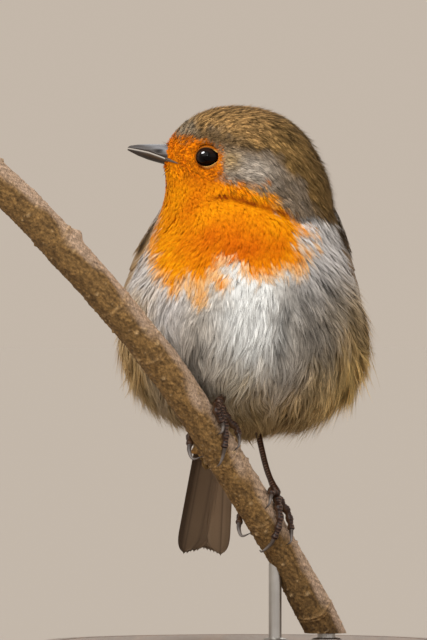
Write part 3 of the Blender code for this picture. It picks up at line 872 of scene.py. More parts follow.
@dataclass(frozen=True)
class Markings:
    """Where each colour of the plumage lies, for skin and coat alike."""

    fold_shade: float = 0.68    # how much darker the feathers are under the head's edge

    def colours(self, points: Array) -> Array:
        """Linear colours.

        Args:
            points: places on the plumage, in millimetres.

        Returns:
            One colour for each point.
        """
        x, y, z = points.T
        wobble, fine = ripple(points, 2.4, 11), ripple(points, 1.1, 12)
        head = step(above_fold(points), -0.7, 0.5)
        upper = overlaid(
            plain(Hue.OLIVE, len(x)),
            # partly painted light: the top and front of the crown are paler
            (Hue.CROWN, step(z + wobble, 137.0, 146.0) * step(x, 12.0, 2.0)),
            # partly painted shade: the back of the head and the nape are darker
            (Hue.OLIVE_DARK, 0.36 * step(x + y * 0.4, 8.0, 22.0)),
        )
        cheek = CHEEK.share(x, z + x * 0.25) + fine * 0.12
        tint = overlaid(
            self._underparts(points, wobble),
            (Hue.CHEEK_DARK, head),
            (Hue.GREY, head * np.clip(cheek, 0, 1) * 0.82),
            (Hue.BUFF, head * WARM_CHEEK.share(x, z)),
        )
        tint *= (1.0 - head * LOWER_CHEEK.share(x, z))[:, None]
        tint = overlaid(
            tint,
            (Hue.BROW_GREY, head * hill((z + (x + 5.0) * 0.28, 142.4, 2.6)) * step(x, 9.0, 1.0)),
            (Hue.FOREHEAD, head * step(x, -11.0, -15.0) * step(z, 143.0, 145.0)),
            (upper, self._olive(points, wobble)),
        )
        tint = self._orange(points, tint, wobble * 0.7 + fine * 0.5)
        # painted shade: a narrow band of darker feathers just under the edge of the overhanging head
        overhang = at_fold(points, -0.4 + wobble * 0.25, 0.7) * (self.fold_shade + 0.2 * fine)
        return self.deepened(tint, 1.0 - overhang)

    @staticmethod
    def vivid(tints: Array) -> Array:
        """How orange colours are, 0 to 1."""
        return step(tints[:, 0] - tints[:, 2] * 4.0, 0.2, 0.5)

    def calm(self, points: Array, tints: Array) -> Array:
        """How smooth the plumage looks: the orange of throat and bib is.

        Args:
            points: places on the plumage.
            tints: their colours.

        Returns:
            0 to 1 for each point.
        """
        x, _, z = points.T
        throat = step(x, -4.0, -8.0) * step(z, 134.5, 130.0)
        return self.vivid(tints) * np.maximum(throat, step(above_fold(points), 0.8, -0.2))

    @staticmethod
    def deepened(tints: Array, shade: Array) -> Array:
        """Colours in the shade of other feathers: grey ones darken, orange ones redden as well."""
        orange = np.clip(tints[..., 0] * 1.4 - tints[..., 2] * 6.0, 0.0, 1.0)[..., None]
        return tints * shade[..., None] ** (1.0 + orange * np.array((-0.35, 0.12, 0.0)))

    @staticmethod
    def _underparts(points: Array, wobble: Array) -> Array:
        """White, grey and buff of the breast, belly, flanks and tail coverts.

        Args:
            points: places on the plumage.
            wobble: what makes the borders uneven.

        Returns:
            One colour for each point.
        """
        x, y, z = points.T
        centre = hill((x + wobble, 1.0, 9.0)) * step(z, 75.0, 90.0)
        side = step(np.abs(x + wobble * 1.5), 18.0, 28.0) * step(z + wobble * 2.0, 110.0, 86.0)
        low_left = step(x, 10.0, 20.0) * step(z, 90.0, 76.0) * step(y, 14.0, 4.0)
        tint = overlaid(
            plain(Hue.GREY, len(x)),
            (Hue.BLUE_GREY, step(np.abs(x + 2), 9.0, 18.0) * step(z - 0.3 * x, 86.0, 104.0)),
            (Hue.WHITE, np.clip(centre * 1.25, 0, 1)),
            (Hue.PALE_GREY, 0.8 * hill((x + wobble, -3.0, 6.0)) * step(z, 88.0, 78.0)),
            (Hue.BUFF, 0.8 * side),
            # partly painted shade: the low belly takes a darker buff, as the underside is in shade
            (Hue.LOW_BELLY, 0.8 * step(z + wobble, 82.0, 69.0)),
            # painted light: the low +X flank takes a bright buff to lift it out of shade
            (Hue.FLANK_BUFF_AND_PAINTED_LIGHT, (0.65 + 0.35 * step(x, 20.0, 25.0)) * low_left),
            (Hue.WARM_BUFF, 0.8 * step(y, 12.0, 28.0)),
        )
        light = 1.0 + 0.07 * ripple(points, 4.5, 17)
        # painted shade: each patch darkens the front of the body
        for shade in SHADES:
            light *= 1.0 - shade.share(x + wobble, z) * step(y, 14.0, 6.0)
        return tint * light[:, None]

    @staticmethod
    def _olive(points: Array, wobble: Array) -> Array:
        """How far places belong to the olive-brown upperparts.

        Args:
            points: places on the plumage.
            wobble: what makes the borders uneven.

        Returns:
            0 to 1 for each point.
        """
        x, y, z = points.T
        limit = np.interp(x, *np.array(OLIVE_EDGE).T)
        cap = step(z + wobble * 1.4 - limit, -1.8, 2.2) * step(z, 117.0, 121.0)
        cap *= 1.0 - 0.6 * step(x, -11.0, -15.0)
        behind = step(y + wobble * 1.4, 10.0, 17.0) * step(z, 79.0, 86.0) * step(z, 131.0, 124.0)
        nape = step(x + wobble, 15.5, 20.0) * step(z, 119.0, 122.0) * step(z, 140.0, 134.0)
        far = step(y + wobble, 7.0, 13.0) * step(x, -4.0, 4.0) * step(z, 115.0, 121.0)
        return np.clip(np.maximum.reduce([cap, behind, nape, far * step(z, 140.0, 132.0)]), 0, 1)

    @staticmethod
    def _orange(points: Array, tint: Array, wobble: Array) -> Array:
        """Lays the orange face and bib over the other colours.

        Args:
            points: places on the plumage.
            tint: the colours beneath.
            wobble: what makes the border uneven.

        Returns:
            One colour for each point.
        """
        x, y, z = points.T
        deep = inside(ORANGE_OUTLINE, x, z) + wobble
        for (middle_x, middle_z), radius in ORANGE_PATCHES:
            apart = np.hypot((x - middle_x) * 1.1, z - middle_z)
            deep = np.maximum(deep, radius - apart + wobble * 1.6 - 0.6)
        behind = np.interp(z, (112.0, 120.0, 126.0, 134.0), (-4.0, -1.0, 7.0, 13.5)) + wobble
        soft = 1.0 + 0.7 * step(z, 116.0, 109.0)
        mask = step((deep + ripple(points, 0.45, 15) * 0.8) / soft, -1.4, 1.6)
        mask *= step(y - behind, 1.5, -1.5)
        deeper = 0.30 + 0.22 * ripple(points, 7.0, 14) + BIB_MIDDLE.share(x, z)
        # partly painted light: the bib is less deep, and so paler, towards -X
        deeper -= 0.45 * step(x, -14.0, -20.0) + 1.4 * (1.0 - mask)
        # painted light: the chin keeps the bib's brighter orange, to lift the down-turned chin out of shade
        face = step(z, 128.5, 132.0) * (1.0 - CHIN.share(x, z))
        orange = overlaid(
            plain(Hue.ORANGE, len(x)),
            (Hue.ORANGE_DEEP, np.clip(deeper, 0, 1)),
            (Hue.FACE_ORANGE, face),
            (Hue.FACE_SHADE, 0.5 * face * step(ripple(points, 0.6, 16), 0.1, 1.1)),
        )
        border = 4.0 * mask * (1.0 - mask) * step(z, 120.0, 114.0)
        return overlaid(tint, (orange, mask), (Hue.ORANGE_EDGE, 0.45 * border))


class ShoulderMarkings(Markings):
    """The feathers over the top of a folded wing: olive-brown, with a front edge of its own."""

    def colours(self, points: Array) -> Array:
        """Linear colours, darker along the left wing's front edge, and paler along the right one's as painted
        light.
        """
        x, y, _ = points.T
        front = step(y + ripple(points, 2.4, 11), 9.0, 0.0)
        return overlaid(
            plain(Hue.OLIVE, len(x)),
            (Hue.WING, 0.9 * front * (x > 0)),
            # painted light: a pale front edge on the -X wing only, the lit side
            (Hue.FRINGE_AND_PAINTED_LIGHT, 0.85 * front * (x <= 0)),
        )


class Landmark(NamedTuple):
    """A place on the bird and its coat there, in millimetres."""

    at: Point
    length: float
    depth: float
    width: float                # half the width of one tuft
    loose: float                # how far the tips stand off


LANDMARKS = [
    Landmark((-21.0, -0.7, 139.0), 1.3, 0.35, 0.20, 0.06),
    Landmark((-12.0, -12.0, 138.0), 1.3, 0.35, 0.22, 0.06),
    Landmark((-12.0, 11.0, 138.0), 1.3, 0.35, 0.22, 0.06),
    Landmark((-10.3, -12.5, 138.1), 1.2, 0.12, 0.18, 0.03),
    Landmark((-10.3, 11.1, 138.1), 1.2, 0.12, 0.18, 0.03),
    Landmark((-15.0, -9.0, 131.0), 2.6, 0.7, 0.28, 0.14),
    Landmark((-13.0, -0.7, 148.0), 2.6, 0.55, 0.18, 0.36),
    Landmark((0.0, -0.7, 151.0), 3.4, 0.7, 0.20, 0.50),
    Landmark((2.0, -13.0, 136.0), 3.8, 0.8, 0.22, 0.34),
    Landmark((2.0, 13.0, 136.0), 3.8, 0.8, 0.22, 0.34),
    Landmark((18.0, 2.0, 136.0), 5.0, 1.1, 0.24, 0.85),
    Landmark((-18.0, -10.0, 124.0), 3.6, 1.0, 0.34, 0.22),
    Landmark((-4.0, -20.0, 117.0), 4.4, 1.2, 0.36, 0.16),
    Landmark((-4.0, -27.0, 106.0), 5.8, 1.5, 0.40, 0.26),
    Landmark((-28.0, -8.0, 106.0), 8.5, 1.7, 0.44, 0.8),
    Landmark((26.0, -8.0, 108.0), 8.5, 1.7, 0.44, 1.1),
    Landmark((0.0, -30.0, 92.0), 10.0, 2.3, 0.34, 0.90),
    Landmark((0.0, -22.0, 76.0), 12.5, 2.4, 0.34, 1.4),
    Landmark((-32.0, 2.0, 86.0), 13.0, 2.4, 0.40, 2.2),
    Landmark((31.0, 0.0, 86.0), 15.0, 2.5, 0.36, 2.8),
    Landmark((0.0, 10.0, 65.0), 11.5, 2.2, 0.42, 1.5),
    Landmark((0.0, 25.0, 112.0), 6.5, 1.4, 0.50, 0.30),
    Landmark((0.0, 34.0, 88.0), 8.0, 1.8, 0.55, 0.45),
    Landmark((-7.0, 42.0, 68.0), 9.0, 1.3, 0.50, 0.30),
]


@dataclass(frozen=True)
class CoatLie:
    """How the coat lies: its direction, length, depth and looseness at every place."""

    bill: Point = (-21.0, HEAD_MIDDLE, 139.5)
    vent: Point = (-3.0, 30.0, 60.0)
    tail: Point = (-0.093, 0.569, -0.817)
    curl: float = 0.22          # how far locks turn aside, in radians

    def coat(self, points: Array) -> Array:
        """Length, depth, half-width and looseness, one row for each point."""
        at = np.array([mark.at for mark in LANDMARKS])
        values = np.array([mark[1:] for mark in LANDMARKS])
        apart = ((points[:, None, :] - at[None]) ** 2).sum(axis=-1)
        weights = 1.0 / (apart + 4.0) ** 1.8
        return weights @ values / weights.sum(axis=1, keepdims=True)

    def flow(self, points: Array, normals: Array) -> Array:
        """The direction that barbs point, along the skin.

        Args:
            points: places on the skin.
            normals: the skin's normals there.

        Returns:
            One direction for each point.
        """
        x, y, z = points.T
        away = points - np.array(self.bill)
        down = -np.array(UP)
        head = unit(away) + down * step(np.linalg.norm(away, axis=1), 18.0, 36.0)[:, None]
        body = unit(np.array(self.vent) - points) * 0.45 + down * 0.75
        body[:, 0] += (
            np.clip((x + 4.0) / 30.0, -1, 1) * step(z, 96.0, 112.0) * 0.30
            + 0.40 * step(x, 6.0, 18.0) * step(z, 80.0, 88.0) * step(z, 106.0, 98.0)
            + 0.35 * step(x, -8.0, -20.0) * step(z, 98.0, 88.0)
            - 0.30 * step(x, 2.0, 14.0) * step(z, 82.0, 72.0)
        )
        heading = overlaid(
            body, (unit(head), step(z - 0.25 * x, 119.0, 126.0)),
            (self.tail, step(y, 30.0, 38.0) * step(z, 90.0, 82.0)),
        )
        heading = unit(level(heading, normals))
        turn = self.curl * ripple(points, 6.0, 21) + 0.10 * ripple(points, 2.2, 22)
        turn = (turn * (1.0 + 1.3 * step(z, 100.0, 86.0)))[:, None]
        return unit(heading * np.cos(turn) + np.cross(normals, heading) * np.sin(turn))


FLESH = ("head", "neck", "breast", "back", "belly", "rump", "tail_coverts")
SIDES = ("left", "right")


def wing_nodes(side: str) -> list[str]:
    """The CAD nodes of one folded wing."""
    return [f"{side}_wing_{part}" for part in ("coverts", "secondaries", "primaries")]


@dataclass
class Eye:
    """One eyeball, its lids and the opening between them."""

    side: str
    opening: Pair = (3.04, 2.45)    # half its width and height
    forward: float = 0.36           # how far the eye looks towards the bill
    lid: float = 0.15               # radius of the lid's rim
    flap: float = 0.35              # how far the lid's bare skin reaches past it
    flat: float = 0.2               # how much flatter than a ball its front is
    beads: float = 29.0             # how many tiny feathers edge the lids

    def __post_init__(self) -> None:
        """Takes the eyeball's middle and size from the CAD, and finds which way it looks."""
        low, high = cad_box(f"{self.side}_eye")
        self.centre = (low + high) / 2
        self.radius = (high.z - low.z) / 2
        facing = -1.0 if self.side == "left" else 1.0
        self.axis = Vector((-self.forward, facing, 0.0)).normalized()
        self.across = UP.cross(self.axis).normalized()

    def aside(self, points: Array) -> tuple[Array, Array]:
        """How far points lie to the side of the eye's middle and above it."""
        away = points - np.array(self.centre)
        return away @ np.array(self.across), away[:, 2]

    def offset(self, points: Array) -> Array:
        """How far points lie from the opening's middle, 1 at its rim."""
        across, height = self.aside(points)
        near = (points - np.array(self.centre)) @ np.array(self.axis) > 0
        return np.where(near, np.hypot(across / self.opening[0], height / self.opening[1]), np.inf)

    def build(self, eye: Material, rim: Material) -> None:
        """Makes the eyeball and its lids."""
        self._ball(eye)
        self._lids(rim)

    def _ball(self, material: Material) -> None:
        """A smooth ball with a black pupil in a dark brown iris."""
        bm = bmesh.new()
        bmesh.ops.create_uvsphere(bm, u_segments=48, v_segments=32, radius=self.radius)
        bmesh.ops.rotate(bm, verts=bm.verts, matrix=UP.rotation_difference(self.axis).to_matrix())
        low = (self.opening[1] + self.lid) / self.radius
        for vert in bm.verts:
            vert.co.z *= low
            front = max(0.0, vert.co.dot(self.axis))
            cornea = max(0.0, front / self.radius - 0.72) * 0.9
            vert.co += self.axis * (cornea - front * self.flat)
        bmesh.ops.translate(bm, verts=bm.verts, vec=self.centre)
        places, _ = vertices(bm)
        off = np.linalg.norm(np.cross(places - np.array(self.centre), np.array(self.axis)), axis=1)
        tint = blended(
            plain(display(5, 4, 4), len(off)), display(17, 9, 6), step(off, 1.5, 1.8) * step(off, 2.7, 2.2)
        )
        dress = Dress(material, "eye_gloss", tint, replaced=[f"{self.side}_eye"])
        finished(f"{self.side}_eyeball", bm, dress)

    def _low_back(self, across: "Array | float", height: "Array | float") -> "Array | float":
        """How much a direction from the eye's middle points to its lower hind rim, 0 to 1."""
        return np.maximum(0.0, across * math.copysign(0.82, self.across.x) - height * 0.57)

    def _on_lid(self, turn: float, way: float) -> Vector:
        """A place on the lids' ring.

        Args:
            turn: how far round the rim's own section it is.
            way: how far round the eye.

        Returns:
            The place, drawn out a little at the back corner.
        """
        angle, tube = FULL_TURN * way, FULL_TURN * turn
        cos, sin = math.cos(angle), math.sin(angle)
        corner = 1.0 + 0.16 * max(0.0, math.copysign(cos, cos * self.across.x)) ** 6
        heavy = 0.40 + 0.70 * float(self._low_back(cos, sin))
        radius = self.lid * heavy * (1.0 + 0.16 * math.sin(angle * self.beads))
        out = max(0.0, math.cos(tube)) ** 2
        reach = radius * (1.0 + math.cos(tube)) + (self.flap + 0.2 * abs(sin)) * out
        x = (self.opening[0] * corner + reach) * cos
        z = (self.opening[1] + reach) * sin
        rim = min(math.hypot(x, z), self.opening[0] + self.lid)
        ball = math.sqrt(max(self.radius ** 2 - rim ** 2, 0.3))
        height = ball * (1 - self.flat) + 0.10 - 0.35 * out + radius * math.sin(tube)
        return self.centre + self.across * x + UP * z + self.axis * height

    def _lids(self, material: Material) -> None:
        """A thin raised ring of skin round the opening, edged with tiny feathers."""
        bm = sheet(14, 144, self._on_lid)
        bmesh.ops.remove_doubles(bm, verts=bm.verts, dist=0.002)
        places, _ = vertices(bm)
        across, height = self.aside(places)
        low_back = self._low_back(*unit(np.c_[across, height]).T)
        offset = self.offset(places)
        top = step(offset, 1.05, 1.10) * step(low_back, 0.6, 0.3)
        tint = overlaid(
            plain(display(255, 204, 110), len(places)),
            (display(96, 52, 16), 0.9 * step(low_back, 0.45, 0.1)), (display(206, 112, 10), 0.8 * top),
        )
        tint *= (0.82 + 0.18 * np.sin(np.arctan2(height, across) * self.beads))[:, None]
        tint = blended(tint, display(24, 14, 8), step(offset, 1.035, 0.99))
        finished(f"{self.side}_eyelids", bm, Dress(material, "breast_orange", tint), recalculate=True)


class Surface:
    """A surface that feathers grow from."""

    def __init__(self, bm: Shape) -> None:
        """Prepares the surface for searches."""
        bmesh.ops.triangulate(bm, faces=bm.faces)
        bm.normal_update()
        bm.verts.index_update()
        bm.faces.index_update()
        self.places, self.normals = vertices(bm)
        self.triangles = np.array([[v.index for v in face.verts] for face in bm.faces])
        self.tree = BVHTree.FromBMesh(bm)

    @staticmethod
    def unwrap(points: Array) -> Array:
        """Where points lie on a surface unrolled round the body: turn and height."""
        middle = np.array((0.0, 2.0))
        turn = np.arctan2(points[:, 0] - middle[0], points[:, 1] - middle[1]) / (2 * math.pi) + 0.5
        girth = np.hypot(points[:, 0] - middle[0], points[:, 1] - middle[1])
        fall = points[:, 2] + np.sign(108.0 - points[:, 2]) * girth * 0.35
        return np.c_[turn, fall / 190.0]

    def scatter(self, count: int, rng: np.random.Generator) -> tuple[Array, Array]:
        """Even random places on the surface, and its normals there."""
        corners = self.places[self.triangles]
        areas = np.linalg.norm(
            np.cross(corners[:, 1] - corners[:, 0], corners[:, 2] - corners[:, 0]), axis=1
        )
        levels = (np.arange(count) + rng.random(count)) / count
        chosen = np.searchsorted(np.cumsum(areas) / areas.sum(), levels)
        chosen = np.minimum(chosen, len(areas) - 1)
        a, b = rng.random(count), rng.random(count)
        flip = a + b > 1
        a[flip], b[flip] = 1 - a[flip], 1 - b[flip]
        shares = np.c_[1 - a - b, a, b][:, :, None]
        normals = self.normals[self.triangles[chosen]]
        return (corners[chosen] * shares).sum(axis=1), unit((normals * shares).sum(axis=1))

    def settle(self, points: Array) -> tuple[Array, Array]:
        """The nearest places on the surface to some points, and its normals there."""
        found = [self.tree.find_nearest(Vector(point)) for point in points]
        places = np.array([hit[0][:] for hit in found])
        faces = np.array([hit[2] for hit in found])
        return places, unit(self.normals[self.triangles[faces]].sum(axis=1))

    def beside(self, x: float, z: float, side: float) -> Vector:
        """The outermost place at some x and z on the side of -Y or +Y."""
        return self.tree.ray_cast(Vector((x, side * 60.0, z)), Vector((0.0, -side, 0.0)))[0]


@dataclass
class Skin:
    """The one skin under the coat of head, neck, trunk and tail coverts."""

    lie: CoatLie
    markings: Markings
    voxel: float = 0.8
    swell: float = 0.3
    smoothings: int = 8
    tuck: float = 0.9           # how much deeper it lies where the head overhangs the breast

    def build(self, material: Material) -> None:
        """Makes the skin piece and keeps its surface for the coat."""
        bm = remeshed(cad_bmesh(*FLESH), self.swell, self.voxel, self.smoothings)
        bmesh.ops.triangulate(bm, faces=bm.faces)
        places, normals = vertices(bm)
        depth = self.lie.coat(places)[:, 1] + self.swell * 0.5 + self.tuck * at_fold(places, -0.6, 1.1)
        moved(bm, places - normals * depth[:, None])
        eased(bm, 0.5)
        self.surface = Surface(bm)
        tints = self.markings.colours(self.surface.places)
        # painted shade: the skin, seen only in the gaps of the coat, is darkened, the orange less so
        tints = self.markings.deepened(tints, 0.50 + 0.40 * self.markings.vivid(tints))
        finished("skin", bm, Dress(material, "flank_buff", tints, replaced=FLESH))


class Plan(NamedTuple):
    """How one tract of the coat is made up."""

    slot: str
    tufts: int
    barbs: int
    segments: int
    # partly painted shade: the darker roots stand also for the shade between tufts
    shaft: float                # how dark the roots of its barbs are, 1 for not at all
    contrast: float             # how much one tuft or lock differs from the next
    lock: int                   # how many tufts hang together in a lock
    gather: float               # how far they are drawn together at their tips
    over: float                 # the share that lies on top of the others
    roll: float                 # how far barbs turn on edge


@unique
class Tract(Enum):
    """The tracts of the coat, each a piece of its own; no two may have the same plan."""

    FACE = Plan("breast_orange", 8400, 7, 2, 0.66, 0.30, 2, 0.35, 0.12, 0.20)
    CROWN = Plan("olive", 11000, 5, 2, 0.36, 0.62, 1, 0.35, 0.12, 0.30)
    NAPE = Plan("olive", 11100, 5, 2, 0.46, 0.34, 1, 0.35, 0.12, 0.30)
    BIB = Plan("breast_orange", 5400, 7, 3, 0.95, 0.04, 5, 0.30, 0.12, 0.12)
    BREAST = Plan("belly_white", 7400, 5, 3, 0.60, 0.17, 8, 0.50, 0.12, 0.25)
    BELLY = Plan("belly_white", 7300, 5, 3, 0.50, 0.24, 10, 0.62, 0.10, 0.30)
    RIGHT_FLANK = Plan("flank_buff", 4600, 5, 3, 0.52, 0.22, 10, 0.55, 0.10, 0.30)
    LEFT_FLANK = Plan("flank_buff", 5400, 5, 3, 0.52, 0.24, 10, 0.55, 0.10, 0.30)
    BACK = Plan("olive", 2500, 5, 3, 0.60, 0.16, 6, 0.45, 0.10, 0.25)
    RUMP = Plan("flank_buff", 3200, 5, 3, 0.55, 0.14, 8, 0.45, 0.10, 0.25)
    LEFT_SHOULDER = Plan("olive", 1020, 5, 3, 0.60, 0.16, 5, 0.40, 0.10, 0.25)
    RIGHT_SHOULDER = Plan("olive", 1000, 5, 3, 0.60, 0.16, 5, 0.40, 0.10, 0.25)

    @property
    def piece(self) -> str:
        """The name of the tract's piece."""
        return "coat_" + self.name.lower()


BODY_TRACTS = list(Tract)[:-2]


@dataclass
class Tufts:
    """The tufts of one tract, one row for each."""

    guide: Array                # root, middle and tip of its middle line
    sides: Array                # directions across it, at each of them
    ups: Array                  # directions off the skin
    coat: Array                 # length, depth, half-width and looseness
    # partly painted shade: the darker roots stand also for the shade between tufts
    shaft: Array                # how dark its roots are, 1 for not at all
    contrast: Array             # how much one barb differs from the next
    tints: Array


# --- wings and tail ------------------------------------------------------------------------


@dataclass
class Coat:
    """Every small feather, as tufts of thin barbs that lie along the skin."""

    skin: Surface
    lie: CoatLie
    markings: Markings
    eyes: Sequence[Eye]
    barb_width: float = 0.085   # half of a barb's width where the coat is longest
    patch: float = 0.003        # the side of one tuft on the bake map
    overlap: float = 1.2        # how far it reaches in under the front of the wings
    under: float = 14.0         # how far above the skin a wing may be and still hide it
    seed: int = 5
    scattered: int = 420000     # the places that the body's tufts are chosen from
    bill_root: tuple[float, float, float, float] = (HEAD_MIDDLE, 138.8, 2.5, 2.9)   # y, z and half-widths

    def __post_init__(self) -> None:
        """Prepares the solids of the wings, which hide what grows under them."""
        self.wings = BVHTree.FromBMesh(cad_bmesh(*wing_nodes("left"), *wing_nodes("right")))

    def cover(self, tract: Tract, lowest: float, material: Material) -> None:
        """Makes one tract of short flat feathers.

        Args:
            tract: which tract it is.
            lowest: the height above which it grows.
            material: its finish.
        """
        rng = np.random.default_rng(self.seed)
        points, normals = self.skin.scatter(tract.value.tufts * 4, rng)
        above = points[:, 2] + ripple(points, 3.0, 23) * 0.8 > lowest
        points, normals = points[above][::2], normals[above][::2]
        coat = self.lie.coat(points) * (0.62, 0.45, 1.0, 0.12)
        self._piece(tract, points, normals, coat, rng, material)

    def build(self, material: Material) -> None:
        """Makes one piece for each tract of the body."""
        rng = np.random.default_rng(self.seed)
        points, normals = self.skin.scatter(self.scattered, rng)
        keep = self._grows(points)
        points, normals = points[keep], normals[keep]
        tracts = self._tract(points)
        coat = self.lie.coat(points)
        for number, tract in enumerate(BODY_TRACTS):
            mine = np.flatnonzero(tracts == number)
            pull = -np.log(rng.random(len(mine))) * coat[mine, 0] ** 1.1
            chosen = mine[np.argsort(pull)[:int(tract.value.tufts * 1.25)]]
            chosen = chosen[self._shown(points[chosen], normals[chosen])][:tract.value.tufts]
            self._piece(tract, points[chosen], normals[chosen], coat[chosen], rng, material)

    @staticmethod
    def _tract(points: Array) -> Array:
        """The number of the tract that each point belongs to."""
        x, y, z = points.T
        head = above_fold(points) > 0.0
        places = {
            Tract.FACE: head & (x < -4.5) & (z < 145.0 + 0.05 * x),
            Tract.CROWN: head & (z > 140.5),
            Tract.NAPE: head,
            Tract.BACK: (y > 9.0) & (z > 92.0),
            Tract.RUMP: (y > 16.0) & (z <= 92.0),
            Tract.BIB: z > 103.5,
            Tract.BREAST: z > 87.0,
            Tract.RIGHT_FLANK: x < -19.0,
            Tract.LEFT_FLANK: x > 19.0,
        }
        numbers = [BODY_TRACTS.index(tract) for tract in places]
        return np.select(list(places.values()), numbers, BODY_TRACTS.index(Tract.BELLY))

    def _grows(self, points: Array) -> Array:
        """Whether feathers grow at each point: not in the eyes nor where the bill comes out."""
        x, y, z = points.T
        middle, height, wide, tall = self.bill_root
        bill = np.hypot((y - middle) / wide, (z - height - 0.1) / tall)
        (start_x, start_z), (end_x, end_z) = GAPE
        along = np.clip((x - start_x) / (end_x - start_x), 0.0, 1.0)
        gape = np.abs(z - start_z - (end_z - start_z) * along)
        grows = ~((x < -15.0) & (bill < 1.0)) & ((x > end_x) | (gape > 0.35))
        for eye in self.eyes:
            grows &= eye.offset(points) > 1.04
        return grows

    def _covered(self, points: Array, normals: Array) -> Array:
        """Whether each point lies under a folded wing."""
        return np.array([
            self.wings.ray_cast(Vector(point), Vector(normal), self.under)[0] is not None
            for point, normal in zip(points, normals)
        ])

    def _shown(self, points: Array, normals: Array) -> Array:
        """Whether each point lies clear of the folded wings, or only just under their front edge."""
        ahead = np.array((0.0, -self.overlap, 0.0))
        return ~(self._covered(points, normals) & self._covered(points + ahead, normals))

    def _piece(
        self, tract: Tract, roots: Array, normals: Array, coat: Array, rng: np.random.Generator,
        material: Material,
    ) -> None:
        """Makes the piece of one tract.

        Args:
            tract: which tract it is.
            roots: where each tuft grows from the skin.
            normals: the skin's normals there.
            coat: length, depth, half-width and looseness of each tuft.
            rng: the source of what varies.
            material: the finish.
        """
        plan = tract.value
        half = coat[:, :1] * rng.uniform(0.78, 1.3, len(roots))[:, None] * 0.5
        heading = self._heading(roots, normals)
        middle, middle_up = self.skin.settle(roots + heading * half)
        onward = self._heading(middle, middle_up)
        end, end_up = self.skin.settle(middle + onward * half)
        line = np.stack([roots, middle, end], axis=1)
        ups = np.stack([self._out_of_sockets(*pair) for pair in (
            (roots, normals), (middle, middle_up), (end, end_up))], axis=1)
        ahead = np.stack([heading, onward, onward], axis=1)
        clear = np.full(len(roots), True)
        for eye in self.eyes:
            clear &= (eye.offset(end) > 1.0) & (eye.offset(middle) > 1.0)
        line, ups, ahead, coat = line[clear], ups[clear], ahead[clear], coat[clear]
        roots, middle, end = (line[:, row].copy() for row in range(3))
        count = len(roots)
        over = rng.random(count) < plan.over
        layer = np.where(over, rng.uniform(1.0, 1.12, count), rng.uniform(0.55, 0.98, count))
        seen = middle * 0.55 + end * 0.45
        tints = self.markings.colours(seen)
        calm = self.markings.calm(seen, tints)
        layer += (0.9 - layer) * 0.55 * calm
        covered = self._covered(end, ups[:, 2])
        layer[covered] *= 0.6
        loose = np.abs(rng.normal(size=count)) * 0.7 + (rng.random(count) < 0.12) * 1.7
        stands = coat[:, 3] * ~covered * loose
        depth = coat[:, 1] * layer
        tip = depth + stands + 0.7 * at_fold(end, 0.3, 1.2)
        lift = np.stack([np.full(count, -0.2), (depth + stands * 0.25) * 0.80, tip], axis=1)
        guide = line + ups * lift[..., None]
        locks = self._locks(roots, plan.lock, rng)
        share = plan.gather * np.clip(1.3 - stands / 1.6, 0.2, 1.0)[:, None]
        for row, part in ((1, 0.35), (2, 1.0)):
            centres = guide[locks, row] + (roots - roots[locks]) * 0.25
            guide[:, row] += (centres - guide[:, row]) * share * part
        sides = np.cross(ups, ahead)
        self._forward(guide, sides, ups, rng)
        contrast = plan.contrast * (1.0 + 0.8 * step(seen[:, 0], 8.0, 20.0) * (seen[:, 2] < 112.0))
        contrast += (0.04 - contrast) * calm
        shaft = plan.shaft + (0.95 - plan.shaft) * np.maximum(calm, self._by_eye(seen))
        clump = ripple(seen, 1.8, 31) * 0.25 + ripple(roots, 0.7, 33) * 1.1 / plan.lock
        clump += rng.normal(size=count) * 0.55 + rng.normal(size=count)[locks] * 0.6
        tints *= np.exp(contrast * np.clip(clump, -2.4, 1.0))[:, None]
        tufts = Tufts(guide, sides, ups, coat, shaft, contrast, tints)
        self._mesh(tract, tufts, roots, rng, material)

    def _heading(self, points: Array, normals: Array) -> Array:
        """The direction of the feathers; near an eye they turn away from it, and so lie round it."""
        heading = self.lie.flow(points, normals)
        for eye in self.eyes:
            outward = unit(level(points - np.array(eye.centre), normals))
            inward = np.minimum((heading * outward).sum(axis=1), 0.0)
            share = step(eye.offset(points), 1.9, 1.2) * (0.35 - inward)
            heading = unit(heading + outward * share[:, None])
        return heading

    def _out_of_sockets(self, points: Array, normals: Array) -> Array:
        """Normals that face out of the head round the eyes, not into their sockets."""
        for eye in self.eyes:
            near = step(eye.offset(points), 1.9, 1.3) * 0.75
            normals = unit(blended(normals, np.array(eye.axis), near))
        return normals

    def _by_eye(self, places: Array) -> Array:
        """How near places lie to an eye's rim, 0 to 1."""
        near = [step(eye.offset(places), 2.0, 1.3) for eye in self.eyes]
        return np.max([np.zeros(len(places)), *near], axis=0)

    def _forward(self, guide: Array, sides: Array, ups: Array, rng: np.random.Generator) -> None:
        """Turns the feathers round the bill's root forwards, so that they lie along the bill.

        Args:
            guide: each tuft's line, which is changed, as its sides and ups are.
            sides: the directions across it.
            ups: the directions off the skin.
            rng: the source of what varies.
        """
        middle, height, wide, tall = self.bill_root
        roots = guide[:, 0].copy()
        away = (roots - np.array((0.0, middle, height - 0.1))) * (0.0, 1.0, 1.0)
        ring = np.hypot(away[:, 1] / wide, away[:, 2] / tall)
        near = (step(ring, 1.6, 1.1) * step(roots[:, 0], -15.5, -17.5))[:, None]
        outward = unit(away)
        forward = np.array((-1.0, 0.0, 0.0))
        reach = rng.uniform(0.5, 1.2, (len(roots), 1))
        for row, (ahead, out) in enumerate(((0.0, 0.0), (0.6, 0.275), (1.0, 0.175))):
            target = roots + outward * out + forward * reach * ahead
            guide[:, row] += (target - guide[:, row]) * near
            ups[:, row] = unit(ups[:, row] + (outward - ups[:, row]) * near)
            across = np.cross(outward, forward)
            sides[:, row] = unit(sides[:, row] + (across - sides[:, row]) * near)

